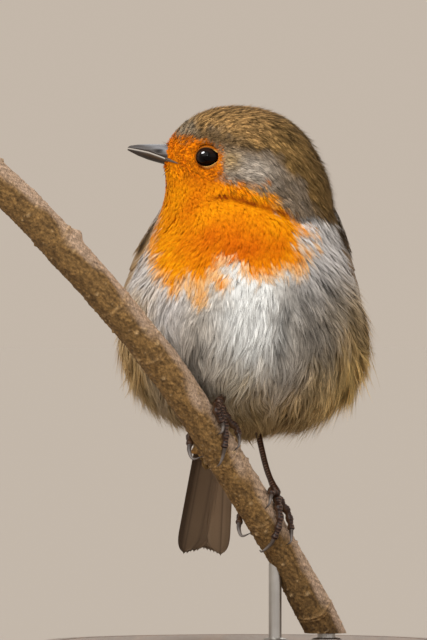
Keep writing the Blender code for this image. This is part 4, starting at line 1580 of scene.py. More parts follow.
    @staticmethod
    def _locks(roots: Array, size: int, rng: np.random.Generator) -> Array:
        """The tuft that each one follows.

        Args:
            roots: where the tufts grow.
            size: how many follow one leader.
            rng: the source of what varies.

        Returns:
            The number of the nearest leader, for each tuft.
        """
        leaders = rng.choice(len(roots), max(1, len(roots) // size), replace=False)
        tree = KDTree(len(leaders))
        for leader in leaders:
            tree.insert(roots[leader], int(leader))
        tree.balance()
        return np.array([tree.find(root)[1] for root in roots])

    def _mesh(
        self, tract: Tract, tufts: Tufts, roots: Array, rng: np.random.Generator, material: Material
    ) -> None:
        """Turns guides into ribbons: each tuft's barbs fan out, curve over and taper to a tip.

        Args:
            tract: which tract it is.
            tufts: the guides, with their colours.
            roots: where they grow from the skin.
            rng: the source of what varies.
            material: the finish.
        """
        plan = tract.value
        barbs, rows = plan.barbs, plan.segments + 1
        shape = (len(roots), barbs)
        half = tufts.coat[:, 2:3]
        even = np.linspace(-1.0, 1.0, barbs)[None] + rng.uniform(-0.6, 0.6, shape) / barbs
        narrowing = rng.uniform(0.10, 0.75, (len(roots), 1))
        offsets = np.stack([even * half * part for part in (1.0, 0.6 + 0.4 * narrowing, narrowing)], axis=-1)
        offsets[..., 2] += rng.normal(size=shape) * half * 0.22
        knots = tufts.guide[:, None] + tufts.sides[:, None] * offsets[..., None]
        uneven = rng.normal(size=shape) * tufts.coat[:, 1:2] * 0.12
        knots[:, :, 2] += tufts.ups[:, None, 2] * uneven[..., None]
        start, middle, end = (knots[:, :, None, row] for row in range(3))
        bend = 2 * middle - (start + end) / 2
        s = (np.linspace(0.0, 1.0, rows)[None, None] * rng.uniform(0.72, 1.0, shape)[..., None])[..., None]
        line = (1 - s) ** 2 * start + 2 * s * (1 - s) * bend + s ** 2 * end
        ahead = unit((1 - s) * (bend - start) + s * (end - bend))
        up = unit(tufts.ups[:, None, None, 0] * (1 - s) + tufts.ups[:, None, None, 2] * s)
        side = unit(np.cross(up, ahead))
        roll = rng.normal(size=shape)[..., None, None] * plan.roll
        flat = side * np.cos(roll) + up * np.sin(roll)
        swell = np.interp(np.linspace(0, 1, rows), (0.0, 0.45, 0.8, 1.0), (0.75, 1.0, 0.7, 0.0))
        width = self.barb_width * np.clip(tufts.coat[:, :1] / 6.0, 0.55, 0.95)
        width = width * rng.uniform(0.75, 1.25, shape)
        spread = flat * (width[..., None] * swell)[..., None]
        shading = unit(up * 0.72 + unit(np.cross(ahead, flat)) * 0.28)
        shaft, contrast = tufts.shaft[:, None], tufts.contrast[:, None]
        # partly painted shade: each barb darkens towards its root
        ramp = shaft + (1 - shaft) * np.linspace(0, 1, rows)[None] ** 0.7
        patchy = np.minimum(0.5, 0.05 + 1.15 * contrast) * (2.6 * rng.random(shape) ** 2 - 0.87)
        shade = self.markings.deepened(
            tufts.tints[:, None, None], ramp[:, None] * (1.0 + patchy)[..., None]
        )
        per = 2 * rows - 1
        on_patch = np.empty((per, 2))
        on_patch[:, 0] = np.r_[np.tile((0.0, 1.0), rows - 1), 0.5]
        on_patch[:, 1] = np.r_[np.repeat(np.linspace(0, 1, rows)[:-1], 2), 1.0]
        spots = self._homes(roots)[:, None, None] + (on_patch - 0.5) * self.patch
        spots = np.broadcast_to(spots, (*shape, per, 2)).reshape(-1, 2)
        places = self._laced(line - spread, line + spread, line)
        normals, colours = (self._laced(values, values, values) for values in (shading, shade))
        mesh = self._ribbons(tract.piece, places * MM, rows)
        store = mesh.attributes.new("custom_normal", "FLOAT_VECTOR", "POINT")
        store.data.foreach_set("vector", normals.astype(np.float32).ravel())
        corners = np.empty(len(mesh.loops), np.int32)
        mesh.loops.foreach_get("vertex_index", corners)
        layer = mesh.uv_layers.new(name=BAKE_MAP)
        layer.uv.foreach_set("vector", spots[corners].astype(np.float32).ravel())
        placed(tract.piece, mesh, Dress(material, plan.slot, colours))

    @staticmethod
    def _laced(left: Array, right: Array, tip: Array) -> Array:
        """The ribbons' vertices: left and right in turn for each row, and one at the tip.

        Args:
            left: values at the left edge, one for each row of each barb.
            right: values at the right edge.
            tip: values along the middle, of which only the last is used.

        Returns:
            The values, one row for each vertex.
        """
        both = np.stack([left[..., :-1, :], right[..., :-1, :]], axis=-2)
        both = both.reshape(*left.shape[:-2], -1, 3)
        return np.concatenate([both, tip[..., -1:, :]], axis=-2).reshape(-1, 3)

    def _homes(self, roots: Array) -> Array:
        """Each tuft's place on the bake map, with the tract spread over the whole of it."""
        turn, height = self.skin.unwrap(roots).T
        if np.ptp(turn) > 0.8:
            turn = (turn + 0.5) % 1.0
        flat = np.c_[turn, height]
        low, high = flat.min(axis=0), flat.max(axis=0)
        return 0.01 + 0.98 * (flat - low) / (high - low)

    @staticmethod
    def _ribbons(name: str, places: Array, rows: int) -> bpy.types.Mesh:
        """One mesh of many ribbons, each a row of quads that ends in a triangle.

        Args:
            name: the mesh's name.
            places: the vertices, in metres, ribbon by ribbon.
            rows: how many rows of them a ribbon has, the last of which is its tip.

        Returns:
            The mesh.
        """
        per = 2 * rows - 1
        quads = [(2 * k, 2 * k + 2, 2 * k + 3, 2 * k + 1) for k in range(rows - 2)]
        pattern = np.array([i for quad in quads for i in quad] + [per - 3, per - 1, per - 2])
        ribbons = np.arange(len(places) // per)[:, None]
        corners = (ribbons * per + pattern).ravel()
        starts = (ribbons * len(pattern) + 4 * np.arange(rows - 1)).ravel()
        mesh = bpy.data.meshes.new(name)
        for part, key, values in (
            (mesh.vertices, "co", places.astype(np.float32)),
            (mesh.loops, "vertex_index", corners.astype(np.int32)),
            (mesh.polygons, "loop_start", starts.astype(np.int32)),
        ):
            part.add(len(values))
            part.foreach_set(key, values.ravel())
        mesh.update(calc_edges=True)
        mesh.shade_smooth()
        return mesh


class Webs(Bundle):
    """Vaned feathers that are gathered into one piece."""

    def feather(
        self, place: Place, length: float, width: float, tint: Callable[[Array, Array], Array]
    ) -> None:
        """Adds one feather.

        Args:
            place: gives a point from across, -1 to 1 with 0 on the shaft, and along, 0 to 1.
            length: its length in millimetres.
            width: half its width.
            tint: gives colours from across and along.
        """
        bm = sheet(10, max(8, int(length / 0.9)), lambda u, v: place(float(self._bunched(u)), v))
        u, along = spots(bm)
        across = self._bunched(u)
        shaft = hill((across, 0.0, 0.09))
        tints = blended(tint(across, along), Hue.WING_DARK, 0.55 * shaft)
        self.add(bm, tints, np.c_[across * width, along * length, shaft])

    @staticmethod
    def _bunched(u: "Array | float") -> "Array | float":
        """Draws the grid's columns in towards the shaft."""
        across = 2 * u - 1
        return np.copysign(np.abs(across) ** 1.35, across)

    def vaned(self, name: str, material: Material, replaced: Sequence[str]) -> None:
        """Makes the piece, each web with a thin body of its own."""
        body = self.build(name, material, "wing_brown", replaced).modifiers.new("web", "SOLIDIFY")
        body.thickness = 0.12 * MM
        body.offset = 0.0


def web_outline(along: float, round_from: float, root: float) -> float:
    """How wide a feather is at a place along it.

    Args:
        along: 0 at its root and 1 at its tip.
        round_from: where its rounded tip begins.
        root: the share of its full width that it has at the root.

    Returns:
        The share of its full width.
    """
    width = root + (1 - root) * min(1.0, along / 0.3)
    if along > round_from:
        width *= math.sqrt(max(0.0, 1 - ((along - round_from) / (1 - round_from)) ** 2))
    return width


class Station(NamedTuple):
    """A level section of the folded wings: its height and how far it reaches each way."""

    z: float
    left: float
    right: float
    front: float
    back: float


class WingEdge(NamedTuple):
    """Where a folded wing begins and ends round the body at one height, in degrees."""

    z: float
    front: float
    middle: float
    back: float


WING_ENVELOPE = [
    Station(130.0, -20.8, 21.6, -15.0, 16.0), Station(123.0, -23.2, 24.2, -19.0, 20.0),
    Station(113.0, -28.9, 27.2, -25.0, 25.8), Station(104.0, -32.6, 30.2, -29.0, 30.2),
    Station(94.0, -34.8, 33.0, -31.0, 34.6), Station(84.0, -34.2, 30.6, -29.0, 39.0),
    Station(74.0, -30.4, 20.6, -22.0, 44.4), Station(65.0, -25.4, 11.4, -14.0, 49.0),
]
WING_EDGES = [
    WingEdge(127.0, 14.0, 24.0, 32.0), WingEdge(120.0, -2.0, 16.0, 46.0), WingEdge(112.0, -7.0, 16.0, 58.0),
    WingEdge(104.0, -3.0, 24.0, 66.0), WingEdge(96.0, 6.0, 36.0, 73.0), WingEdge(88.0, 18.0, 47.0, 76.0),
    WingEdge(80.0, 33.0, 56.0, 75.0), WingEdge(72.0, 50.0, 63.0, 72.0), WingEdge(65.0, 61.0, 66.0, 69.0),
]


class Row(NamedTuple):
    """A row of overlapping feathers on a folded wing."""

    count: int
    edges: tuple[str, str]      # the wing's edges that it lies between
    roots: Pair  # heights of its first and last feather's root
    tips: Pair
    half: float                 # half the width of a feather
    lifts: Pair  # of its first and last feather, from the wing's outer surface
    fringe_and_painted_light: float               # how pale its edges and tips are
    dark: float                 # how dark its webs are


@dataclass
class Wing:
    """One folded wing: small coverts over great ones over secondaries over primaries."""

    side: str
    tuck: float = 1.2           # how far its front edge lies in under the side's feathers
    seeds: tuple[int, int] = (41, 42)      # of the left wing and the right one
    rows: tuple[Row, ...] = (
        Row(9, ("front", "middle"), (101.0, 98.0), (65.6, 82.0), 2.9, (-1.3, -0.8), 0.75, 0.95),
        Row(7, ("middle", "back"), (102.0, 101.0), (76.0, 84.0), 3.6, (-0.8, -0.2), 0.6, 0.85),
        Row(3, ("middle", "back"), (106.0, 108.0), (82.0, 91.0), 4.4, (-0.2, 0.1), 0.5, 0.7),
        Row(6, ("front", "middle"), (111.0, 110.0), (93.0, 96.0), 2.8, (-0.7, -0.4), 0.5, 0.95),
        Row(10, ("front", "back"), (113.5, 114.5), (99.5, 101.0), 3.3, (-0.3, 0.0), 0.8, 0.7),
        Row(9, ("front", "back"), (119.0, 119.5), (108.0, 109.0), 3.4, (-0.1, 0.2), 0.4, 0.45),
        Row(10, ("front", "back"), (123.5, 124.0), (113.5, 114.5), 2.6, (0.0, 0.3), 0.25, 0.35),
    )

    def _spot(self, z: float, degrees: float, lift: float) -> Vector:
        """A point of the wing's outer surface.

        Args:
            z: its height.
            degrees: how far round the body it is, from the front for either wing.
            lift: how far it is lifted off the surface.

        Returns:
            The point.
        """
        heights, *columns = np.array(WING_ENVELOPE)[::-1].T
        left, right, front, back = (np.interp(z, heights, column) for column in columns)
        angle = math.radians(degrees if self.side == "left" else 180.0 - degrees)
        half_x, half_y = (right - left) / 2 + lift, (back - front) / 2 + lift
        return Vector((
            (right + left) / 2 + half_x * math.cos(angle), (back + front) / 2 + half_y * math.sin(angle), z
        ))

    @staticmethod
    def _degrees(z: float, edges: tuple[str, str], share: float = 0.0) -> float:
        """The angle of a place between two of the wing's edges at a height."""
        rows = WING_EDGES[::-1]
        first, last = (
            float(np.interp(z, [edge.z for edge in rows], [getattr(edge, name) for edge in rows]))
            for name in edges
        )
        return first + (last - first) * share

    def shoulder(self) -> Surface:
        """The top of the folded wing, for the soft feathers that hide where it joins the body."""
        def place(u: float, v: float) -> Vector:
            """A point of the wing's top, by how far round and down it is."""
            z = 129.0 - 32.0 * v
            first = self._degrees(z, ("front", "front")) - 3.0
            last = self._degrees(z, ("back", "back")) + 10.0
            share = 1.0 - u if self.side == "left" else u
            return self._spot(z, first + (last - first) * share, 0.1)

        return Surface(sheet(30, 40, place))

    def build(self, material: Material) -> None:
        """Makes the wing's piece."""
        webs = Webs()
        rng = np.random.default_rng(self.seeds[SIDES.index(self.side)])
        for row in self.rows:
            for number in range(row.count):
                self._feather(webs, row, number, rng)
        webs.vaned(f"{self.side}_wing_feathers", material, wing_nodes(self.side))

    def _feather(self, webs: Webs, row: Row, number: int, rng: np.random.Generator) -> None:
        """Adds one feather of a row.

        Args:
            webs: where it is added.
            row: its row.
            number: which of the row's feathers it is.
            rng: the source of what varies.
        """
        share = number / (row.count - 1)
        top, bottom, lift = (
            pair[0] + (pair[1] - pair[0]) * share + rng.uniform(-0.25, 0.25) * scale
            for pair, scale in ((row.roots, 1.0), (row.tips, 1.0), (row.lifts, 0.1))
        )
        length = (top - bottom) * 1.06
        between = (number + 0.5) / row.count
        sway = rng.uniform(-0.02, 0.02)
        round_from = 1 - min(0.5, 1.5 * row.half / length)

        def place(across: float, along: float) -> Vector:
            """A point of the feather, by how far across and along it is."""
            z = top + (bottom - top) * along
            width = row.half * web_outline(along, round_from, 0.55)
            spread = math.degrees(across * width / 32.0)
            degrees = self._degrees(z, row.edges, between + sway * along) + spread
            camber = 0.22 * (1 - across * across) + 0.10 * math.exp(-((across / 0.08) ** 2))
            tilt = 0.25 * (along - 0.7) - 0.25 * max(0.0, across)
            behind = max(0.0, degrees - self._degrees(z, ("front", "front")))
            tuck = self.tuck * max(0.0, 1 - behind / 14.0) ** 2
            return self._spot(z, degrees, lift + camber + tilt - tuck)

        def tint(across: Array, along: Array) -> Array:
            """The colours of the feather's webs and of their fringes, with painted light on the right wing's
            front feathers.
            """
            edge = np.clip(step(across, -0.72, -0.98) + step(along, 0.93, 1.0) * 0.8, 0, 1)
            # painted light: the front feathers of the right wing, on the lit side, are paler
            wear_and_painted_light = 0.7 * step(between, 0.4, 0.05) * (self.side == "right")
            return rng.uniform(0.92, 1.08) * overlaid(
                plain(Hue.WING, len(across)), (Hue.OLIVE, 0.6 * (1 - row.dark)),
                (Hue.WING_DARK, row.dark * step(across, -0.75, 0.3)), (Hue.FRINGE_AND_PAINTED_LIGHT, edge * row.fringe_and_painted_light),
                (Hue.FRINGE_AND_PAINTED_LIGHT, wear_and_painted_light),
            )

        webs.feather(place, length, row.half, tint)


@dataclass
class Tail:
    """Twelve tail feathers, closed over one another with the middle pair on top."""

    base: Point = (-6.3, 31.0, 79.0)
    end: Point = (-11.8, 64.6, 30.8)
    half_widths: Pair = (4.2, 7.9)
    pairs: int = 6
    arch: float = 1.5
    web: float = 3.9            # half the width of one feather at its widest
    seed: int = 43

    def build(self, material: Material) -> None:
        """Makes the tail's piece."""
        line = Vector(self.end) - Vector(self.base)
        along = line.normalized()
        across = Vector((1.0, 0.0, 0.0))
        across = (across - along * across.dot(along)).normalized()
        axes = (along, across, across.cross(along))
        webs = Webs()
        rng = np.random.default_rng(self.seed)
        for pair in range(self.pairs):
            for side in (1.0, -1.0):
                self._feather(webs, axes, (pair + 0.5) / self.pairs, side, line.length, rng)
        webs.vaned("tail_feathers", material, ["tail"])

    def _feather(
        self, webs: Webs, axes: tuple[Vector, Vector, Vector], out: float, side: float, length: float,
        rng: np.random.Generator,
    ) -> None:
        """Adds one feather, the further out the lower it lies.

        Args:
            webs: where it is added.
            axes: the directions along the tail, across it and off its upper side.
            out: 0 in the middle of the tail and 1 at its edge.
            side: 1 towards the bird's left and -1 towards its right.
            length: the tail's length.
            rng: the source of what varies.
        """
        ahead, sideways, upper = axes
        reach = length - 1.6 * (1 - out) - 0.5 * out + rng.uniform(-0.3, 0.3)

        def place(across: float, along: float) -> Vector:
            """A point of the feather, by how far across and along it is."""
            fan = self.half_widths[0] + (self.half_widths[1] - self.half_widths[0]) * along
            width = self.web * web_outline(along, 0.86, 0.45)
            narrow = 0.62 if across * side > 0 else 1.0
            x = side * out * (fan - self.web * 0.62) + across * width * narrow
            point = 0.9 * abs(across) ** 1.5 * float(step(along, 0.9, 1.0))
            height = self.arch * (1 - (x / fan) ** 2) * 0.6 - 1.1 * out + 0.2 * side
            height += 0.25 * (1 - across * across) + 0.10 * math.exp(-((across / 0.08) ** 2))
            return Vector(self.base) + ahead * (reach * along - point) + sideways * x + upper * height

        def tint(across: Array, along: Array) -> Array:
            """The colours of the feather's webs, with painted shade on the outer feathers of the right side.
            """
            outer, away = across * side > 0, np.abs(across)
            # painted shade: the outer feathers on the right side are darker
            edge = (0.45 + 0.5 * outer * step(away, 0.0, 0.6)) * step(out, 0.6, 0.92) * (side < 0)
            return rng.uniform(0.92, 1.08) * overlaid(
                plain(Hue.TAIL, len(across)), (Hue.TAIL_DARK, 0.30 * outer * step(away, 0.1, 0.6)),
                (Hue.TAIL_DARK, 0.25 * step(along, 0.8, 1.0)), (Hue.TAIL_DARK, edge),
            )

        webs.feather(place, reach, self.web, tint)


# --- bill ----------------------------------------------------------------------------------
class BillStation(NamedTuple):
    """A section across the bill: its ridge, cutting edges, lower ridge and half-width."""

    x: float
    culmen: float
    tomium: float
    gonys: float
    half_width: float


BILL = [
    BillStation(-31.4, 140.7, 140.5, 140.0, 0.16), BillStation(-30.7, 141.2, 140.4, 139.6, 0.45),
    BillStation(-28.6, 141.5, 140.0, 138.5, 0.90), BillStation(-25.8, 141.6, 139.4, 137.4, 1.40),
    BillStation(-23.0, 141.6, 138.4, 136.6, 1.90), BillStation(-20.0, 141.6, 137.2, 135.8, 2.40),
    BillStation(-17.6, 141.2, 136.5, 135.2, 2.75),
]
GAPE = ((-20.9, 137.6), (-17.6, 136.35))     # the corner of the mouth, in x and z
BRISTLE = display(38, 26, 18)


class Course:
    """A smooth line, on which places are found by how far along it they are."""

    def __init__(self, line: Array) -> None:
        """Measures the line and finds which way it heads."""
        self.line = line
        self.gone = np.r_[0.0, np.cumsum(np.linalg.norm(np.diff(line, axis=0), axis=1))]
        self.length = float(self.gone[-1])
        self.ahead = unit(np.gradient(line, axis=0))

    def read(self, values: Array, gone: "Array | float") -> Array:
        """Values that are given at each point of the line, read off in between."""
        return np.stack([np.interp(gone, self.gone, column) for column in values.T], axis=-1)


class Limb(Course):
    """A round limb: every place knows how far along it lies and which way it faces."""

    def __init__(self, line: Array, over: Array) -> None:
        """Finds which way the limb's side and top face, from what counts as over it."""
        super().__init__(line)
        self.side = unit(np.cross(self.ahead, over))
        self.top = np.cross(self.side, self.ahead)

    def mesh(
        self, around: int, along: int, radius: Callable[[float, float], float]
    ) -> tuple[Shape, Array, Array]:
        """Its surface.

        Args:
            around: faces round it.
            along: faces along it.
            radius: gives the radius from how far along a place is and how far it faces up, 1 to -1.

        Returns:
            The shape, and for each vertex how far along it is and how far it faces up.
        """
        def place(turn: float, way: float) -> Vector:
            """A point of the limb, by its turn round it and its way along it."""
            gone, angle = way * self.length, FULL_TURN * turn
            middle, side, top = (
                Vector(self.read(values, gone)) for values in (self.line, self.side, self.top)
            )
            reach = radius(gone, math.cos(angle))
            return middle + (top * math.cos(angle) + side * math.sin(angle)) * reach

        bm = sleeve(around, along, place)
        turn, way = spots(bm)
        return bm, way * self.length, np.cos(FULL_TURN * turn)


@dataclass
class Bill:
    """Both mandibles, with their nostrils and the bristles at the gape."""

    middle: float = HEAD_MIDDLE
    nostril: Patch = Patch(-22.9, 139.75, 0.95, 0.42)
    gap: float = 0.15           # half of the gap between the mandibles
    arch: float = 0.8           # the share of a mandible's outline that its arch takes up
    bristles: int = 9           # on each side
    seed: int = 44

    def build(self, skin: Surface, horn: Material, bristle: Material) -> None:
        """Makes the four pieces."""
        for name, upper in (("upper_mandible", True), ("lower_mandible", False)):
            self._mandible(name, upper, horn)
        self._gape(skin, horn)
        self._bristles(bristle)

    @staticmethod
    def _gape(skin: Surface, material: Material) -> None:
        """The corners of the mouth: on each side two thin lips that run back over the face."""
        start, end = np.array(GAPE)
        lips = Bundle()
        for side in (-1.0, 1.0):
            for lip in (1.0, -1.0):
                knots = []
                for share in np.linspace(0.0, 1.0, 6):
                    x, z = start + (end - start) * share + (0.0, lip * 0.26 * (1.0 - share))
                    knots.append(skin.beside(x, z, side) + Vector((-0.25, side * 0.42, 0.0)))
                line = curve_through(np.array(knots), 4)
                limb = Limb(line, np.tile(UP[:], (len(line), 1)))
                bm, gone, top = limb.mesh(14, 30, lambda gone, top: 0.24 * (1.02 - gone / limb.length) ** 0.6)
                lips.add(bm, overlaid(
                    plain(display(92, 82, 76), len(gone)),
                    # painted highlight: a pale yellowish line along the underside of the upper lip
                    (display(198, 176, 140), 0.8 * step(top * lip, -0.2, -0.8) * (lip > 0)),
                    (display(40, 30, 24), step(top * lip, 0.1, -0.7) * (lip < 0)),
                ))
        lips.build("gape_corners", material, "bill_horn")

    def _mandible(self, name: str, upper: bool, material: Material) -> None:
        """Makes one mandible.

        Args:
            name: its CAD node.
            upper: whether it is the upper one.
            material: its finish.
        """
        along, *columns = np.array(BILL).T
        sign = 1.0 if upper else -1.0

        def place(turn: float, way: float) -> Vector:
            """A point of the mandible, by its turn round it and its way along it."""
            x = along[0] + (along[-1] - along[0]) * way ** 1.25
            culmen, tomium, gonys, half = (np.interp(x, along, column) for column in columns)
            edge = tomium + sign * self.gap
            height = (culmen if upper else gonys) - edge
            if turn < self.arch:
                angle = math.pi * turn / self.arch
                across = math.cos(angle) * (1 - 0.10 * math.sin(angle) ** 2)
                return Vector((x, self.middle + half * across, edge + height * math.sin(angle) ** 0.85))
            share = (turn - self.arch) / (1 - self.arch)
            hollow = 0.12 * sign * math.sin(math.pi * share)
            return Vector((x, self.middle - half + 2 * half * share, edge + hollow))

        bm = sleeve(40, 56, place)
        eased(bm, 0.4, 2)
        places, normals = vertices(bm)
        x, _, z = places.T
        pit = self.nostril.share(x, z) * upper
        groove = hill((z, self.nostril.z + 0.12, 0.35)) * step(x, -27.0, -23.0) * upper
        places -= normals * (0.42 * pit + 0.10 * groove)[:, None]
        moved(bm, places)
        dress = Dress(material, "bill_horn", self._tints(places, upper, pit), replaced=[name])
        finished(name + "_horn", bm, dress)

    @staticmethod
    def _tints(places: Array, upper: bool, pit: Array) -> Array:
        """Slate on top, partly a painted highlight, dark along the cutting edges and tip, browner below.

        Args:
            places: places on a mandible.
            upper: whether it is the upper one.
            pit: how far each place lies in a nostril.

        Returns:
            One colour for each place.
        """
        x, _, z = places.T
        along, _, tomium, *_ = np.array(BILL).T
        away = np.abs(z - np.interp(x, along, tomium))
        if upper:
            # partly painted highlight: the upper mandible is pale slate away from its cutting edge
            layers = [(display(124, 127, 134), step(away, 0.9, 2.3))]
        else:
            layers = [
                (display(34, 24, 18), step(away, 0.5, 1.4)), (display(52, 44, 40), step(x, -25.0, -29.0)),
            ]
        base = display(56, 48, 46) if upper else display(70, 52, 34)
        return overlaid(
            plain(base, len(x)), *layers, (display(46, 36, 30), 0.8 * step(away, 0.45, 0.05)),
            # painted shade: the nostrils' pits are near black
            (display(24, 18, 15), np.clip(pit * 1.3, 0, 1)),
        )

    def _bristles(self, material: Material) -> None:
        """Fine stiff bristles that curve forwards from the gape and over the nostrils."""
        rng = np.random.default_rng(self.seed)
        bundle = Bundle()
        for side in (-1.0, 1.0):
            for number in range(self.bristles):
                if number < 6:
                    start = (-18.6 - 0.25 * number, side * rng.uniform(2.2, 2.9), 136.3 - 0.2 * number)
                    rise, length, sag = -0.75, rng.uniform(2.2, 3.8), -0.5
                else:
                    start = (-20.4, side * rng.uniform(1.2, 2.2), 141.0 + 0.3 * (number - 6))
                    rise, length, sag = 0.2, rng.uniform(1.4, 2.2), 0.35
                root = Vector(start) + Vector((0.0, self.middle, 0.0))
                bm = self._bristle(root, Vector((-1.0, side * 0.35, rise)).normalized(), length, sag)
                bundle.add(bm, plain(BRISTLE, len(bm.verts)))
        bundle.build("bill_bristles", material, "bill_horn")

    @staticmethod
    def _bristle(start: Vector, heading: Vector, length: float, sag: float) -> Shape:
        """One bristle, thinning to its tip.

        Args:
            start: its root.
            heading: the direction that it sets out in.
            length: its length.
            sag: how far its tip rises, or sinks where it is negative.

        Returns:
            Its shape.
        """
        side = heading.cross(UP).normalized()
        over = side.cross(heading)

        def place(turn: float, way: float) -> Vector:
            """A point of the bristle, by its turn round it and its way along it."""
            angle = FULL_TURN * turn
            radius = 0.045 * (1 - 0.85 * way)
            line = start + heading * length * way + UP * sag * way * way
            return line + side * radius * math.cos(angle) + over * radius * math.sin(angle)

        return sleeve(5, 6, place)


# --- branch --------------------------------------------------------------------------------
class Bough(NamedTuple):
    """A point of the branch's middle line, and its radius there."""

    x: float
    y: float
    z: float
    radius: float


PERCH = [
    Bough(-70.0, -51.0, 136.2, 4.7), Bough(-56.6, -46.4, 123.3, 4.8), Bough(-43.2, -41.6, 108.8, 5.0),
    Bough(-32.2, -36.6, 96.0, 4.8), Bough(-22.6, -31.0, 84.3, 4.9), Bough(-12.0, -24.0, 68.8, 4.7),
    Bough(-2.0, -16.6, 52.8, 4.8), Bough(7.9, -9.2, 36.8, 4.7), Bough(16.6, -2.4, 21.0, 4.8),
    Bough(23.4, 3.2, 8.0, 4.9),
]


class Scar(NamedTuple):
    """A ring scar left by a bud's scales."""

    z: float                    # height of the branch's middle line there
    facing: float               # degrees round from the branch's upper edge towards the front
    wide: float                 # how far round it reaches, in degrees
    raised: float


SCARS = [
    Scar(116.0, 20.0, 60.0, 0.25), Scar(99.0, 70.0, 90.0, 0.22), Scar(86.5, 110.0, 60.0, 0.30),
    Scar(59.0, 90.0, 80.0, 0.22), Scar(43.0, 110.0, 60.0, 0.15), Scar(18.5, 70.0, 95.0, 0.35),
]


@dataclass
class Branch:
    """The cut branch: young bark with wrinkles, pores and ring scars, and bare wood at its ends."""

    foot: float = 12.0          # height of the level cut at its low end
    around: int = 108
    along: int = 620
    pores: int = 330
    bud: Point = (-44.4, -42.6, 116.9)
    young_bud: Point = (-12.4, -20.6, 61.2)

    def __post_init__(self) -> None:
        """Lays out the middle line and the directions round it."""
        line = curve_through(np.array(PERCH), 12)
        self.course, self.radii = Course(line[:, :3]), line[:, 3]
        front = np.array((0.0, -1.0, 0.0))
        ahead = self.course.ahead
        self.facing = unit(front - ahead * (ahead @ front)[:, None])
        self.upper = np.cross(self.facing, ahead)
        self.upper *= np.sign(self.upper[:, 2])[:, None]

    def at_height(self, z: float) -> float:
        """How far along the branch its middle line is at a height."""
        return float(np.interp(-z, -self.course.line[:, 2], self.course.gone))

    def frame(self, gone: Array, degrees: Array) -> tuple[Array, Array, Array]:
        """Where places along and round the branch are.

        Args:
            gone: how far along it they are.
            degrees: how far round it, from its upper edge towards its front.

        Returns:
            The middle, the direction outwards and the radius there.
        """
        read = self.course.read
        middle, upper, facing = (read(values, gone) for values in (self.course.line, self.upper, self.facing))
        turn = np.radians(degrees)[..., None]
        outward = unit(upper * np.cos(turn) + facing * np.sin(turn))
        return middle, outward, np.interp(gone, self.course.gone, self.radii)

    def build(self, material: Material) -> None:
        """Makes the branch's two pieces."""
        bm = sleeve(self.around, self.along, lambda turn, way: Vector(
            (math.cos(FULL_TURN * turn), math.sin(FULL_TURN * turn), way * 40.0)))
        turn, way = spots(bm)
        gone, degrees = way * self.course.length, turn * 360.0
        middle, outward, radius = self.frame(gone, degrees)
        round_it = np.radians(degrees)
        lie = np.c_[np.cos(round_it) * radius, np.sin(round_it) * radius, gone]
        pore, tall = self._pores(lie)
        ring, ridge = self._scars(gone, degrees)
        push = tall + ridge - 0.12
        for stretch, size, seed, height in (
            (1.0, 15.0, 53, 0.14), (0.55, 1.1, 51, 0.07), (0.35, 2.4, 52, 0.10), (1.0, 0.6, 57, 0.07)
        ):
            push += ripple(lie * (1.0, 1.0, stretch), size, seed) * height
        places = middle + outward * (radius + push)[:, None]
        for spot, wide, height in ((self.bud, 1.7, 1.5), (self.young_bud, 1.15, 2.3)):
            knob = hill((np.linalg.norm(places - np.array(spot), axis=1), 0.0, wide))
            places += outward * (height * knob)[:, None]
        tint = self._tints(lie, outward, pore, ring)
        tint = blended(tint, display(150, 108, 54), np.clip(knob * 1.2, 0, 1))
        moved(bm, places)
        layers = [bm.verts.layers.float_vector.new(name) for name in ("kept_tint", "kept_lie")]
        for vert, *rows in zip(bm.verts, tint, lie):
            for layer, row in zip(layers, rows):
                vert[layer] = row
        bmesh.ops.bisect_plane(
            bm, geom=[*bm.verts, *bm.edges, *bm.faces], plane_co=(0, 0, self.foot), plane_no=(0, 0, 1),
            clear_inner=True,
        )
        closed(bm)
        tint, lie = (np.array([vert[layer][:] for vert in bm.verts]) for layer in layers)
        finished("branch_bark", bm, Dress(material, "bark", tint, lie, ["perch"]), recalculate=True)
        self._cuts(material)

    def _cuts(self, material: Material) -> None:
        """The bare wood of both sawn ends, with its rings."""
        ends = Bundle()
        for gone, normal in ((0.0, -self.course.ahead[0]), (self.at_height(self.foot), -np.array(UP))):
            bm = sheet(48, 14, lambda turn, way: self._on_cut(gone, normal, turn, way))
            bmesh.ops.remove_doubles(bm, verts=bm.verts, dist=0.004)
            places, _ = vertices(bm)
            apart = spots(bm)[1] * self.radii[0]
            rings = 0.5 + 0.5 * np.sin(apart * 6.0 + ripple(places, 3.0, 58) * 0.8)
            wood = overlaid(
                plain(display(206, 174, 128), len(apart)), (display(166, 130, 86), rings * 0.6),
                (display(150, 120, 70), step(apart, 0.9, 0.4)), (display(88, 64, 42), step(apart, 4.1, 4.5)),
            )
            ends.add(bm, wood, places * (1.0, 1.0, 6.0))
        ends.build("branch_cuts", material, "bark")

    def _on_cut(self, gone: float, normal: Array, turn: float, way: float) -> Vector:
        """A place on a sawn end.

        Args:
            gone: how far along the branch the end is.
            normal: the direction that it faces.
            turn: how far round the place is, 0 to 1.
            way: how far out it is.

        Returns:
            The place.
        """
        centre, outward, radius = self.frame(np.array(gone), np.array(turn * 360.0))
        line = unit(self.course.read(self.course.ahead, gone))
        flat = outward - line * (outward @ normal) / (line @ normal)
        return Vector(centre + flat * (radius - 0.15) * way + normal * 0.02)

    @staticmethod
    def _tints(lie: Array, outward: Array, pore: Array, ring: Array) -> Array:
        """Olive-brown bark, paler and pinkish along its upper edge as partly painted light, darker underneath
        as painted shade, with ochre pores.

        Args:
            lie: the place along and round the branch for each vertex.
            outward: the direction away from the branch there.
            pore: how far it belongs to a pore.
            ring: how far it belongs to a ring scar.

        Returns:
            One colour for each vertex.
        """
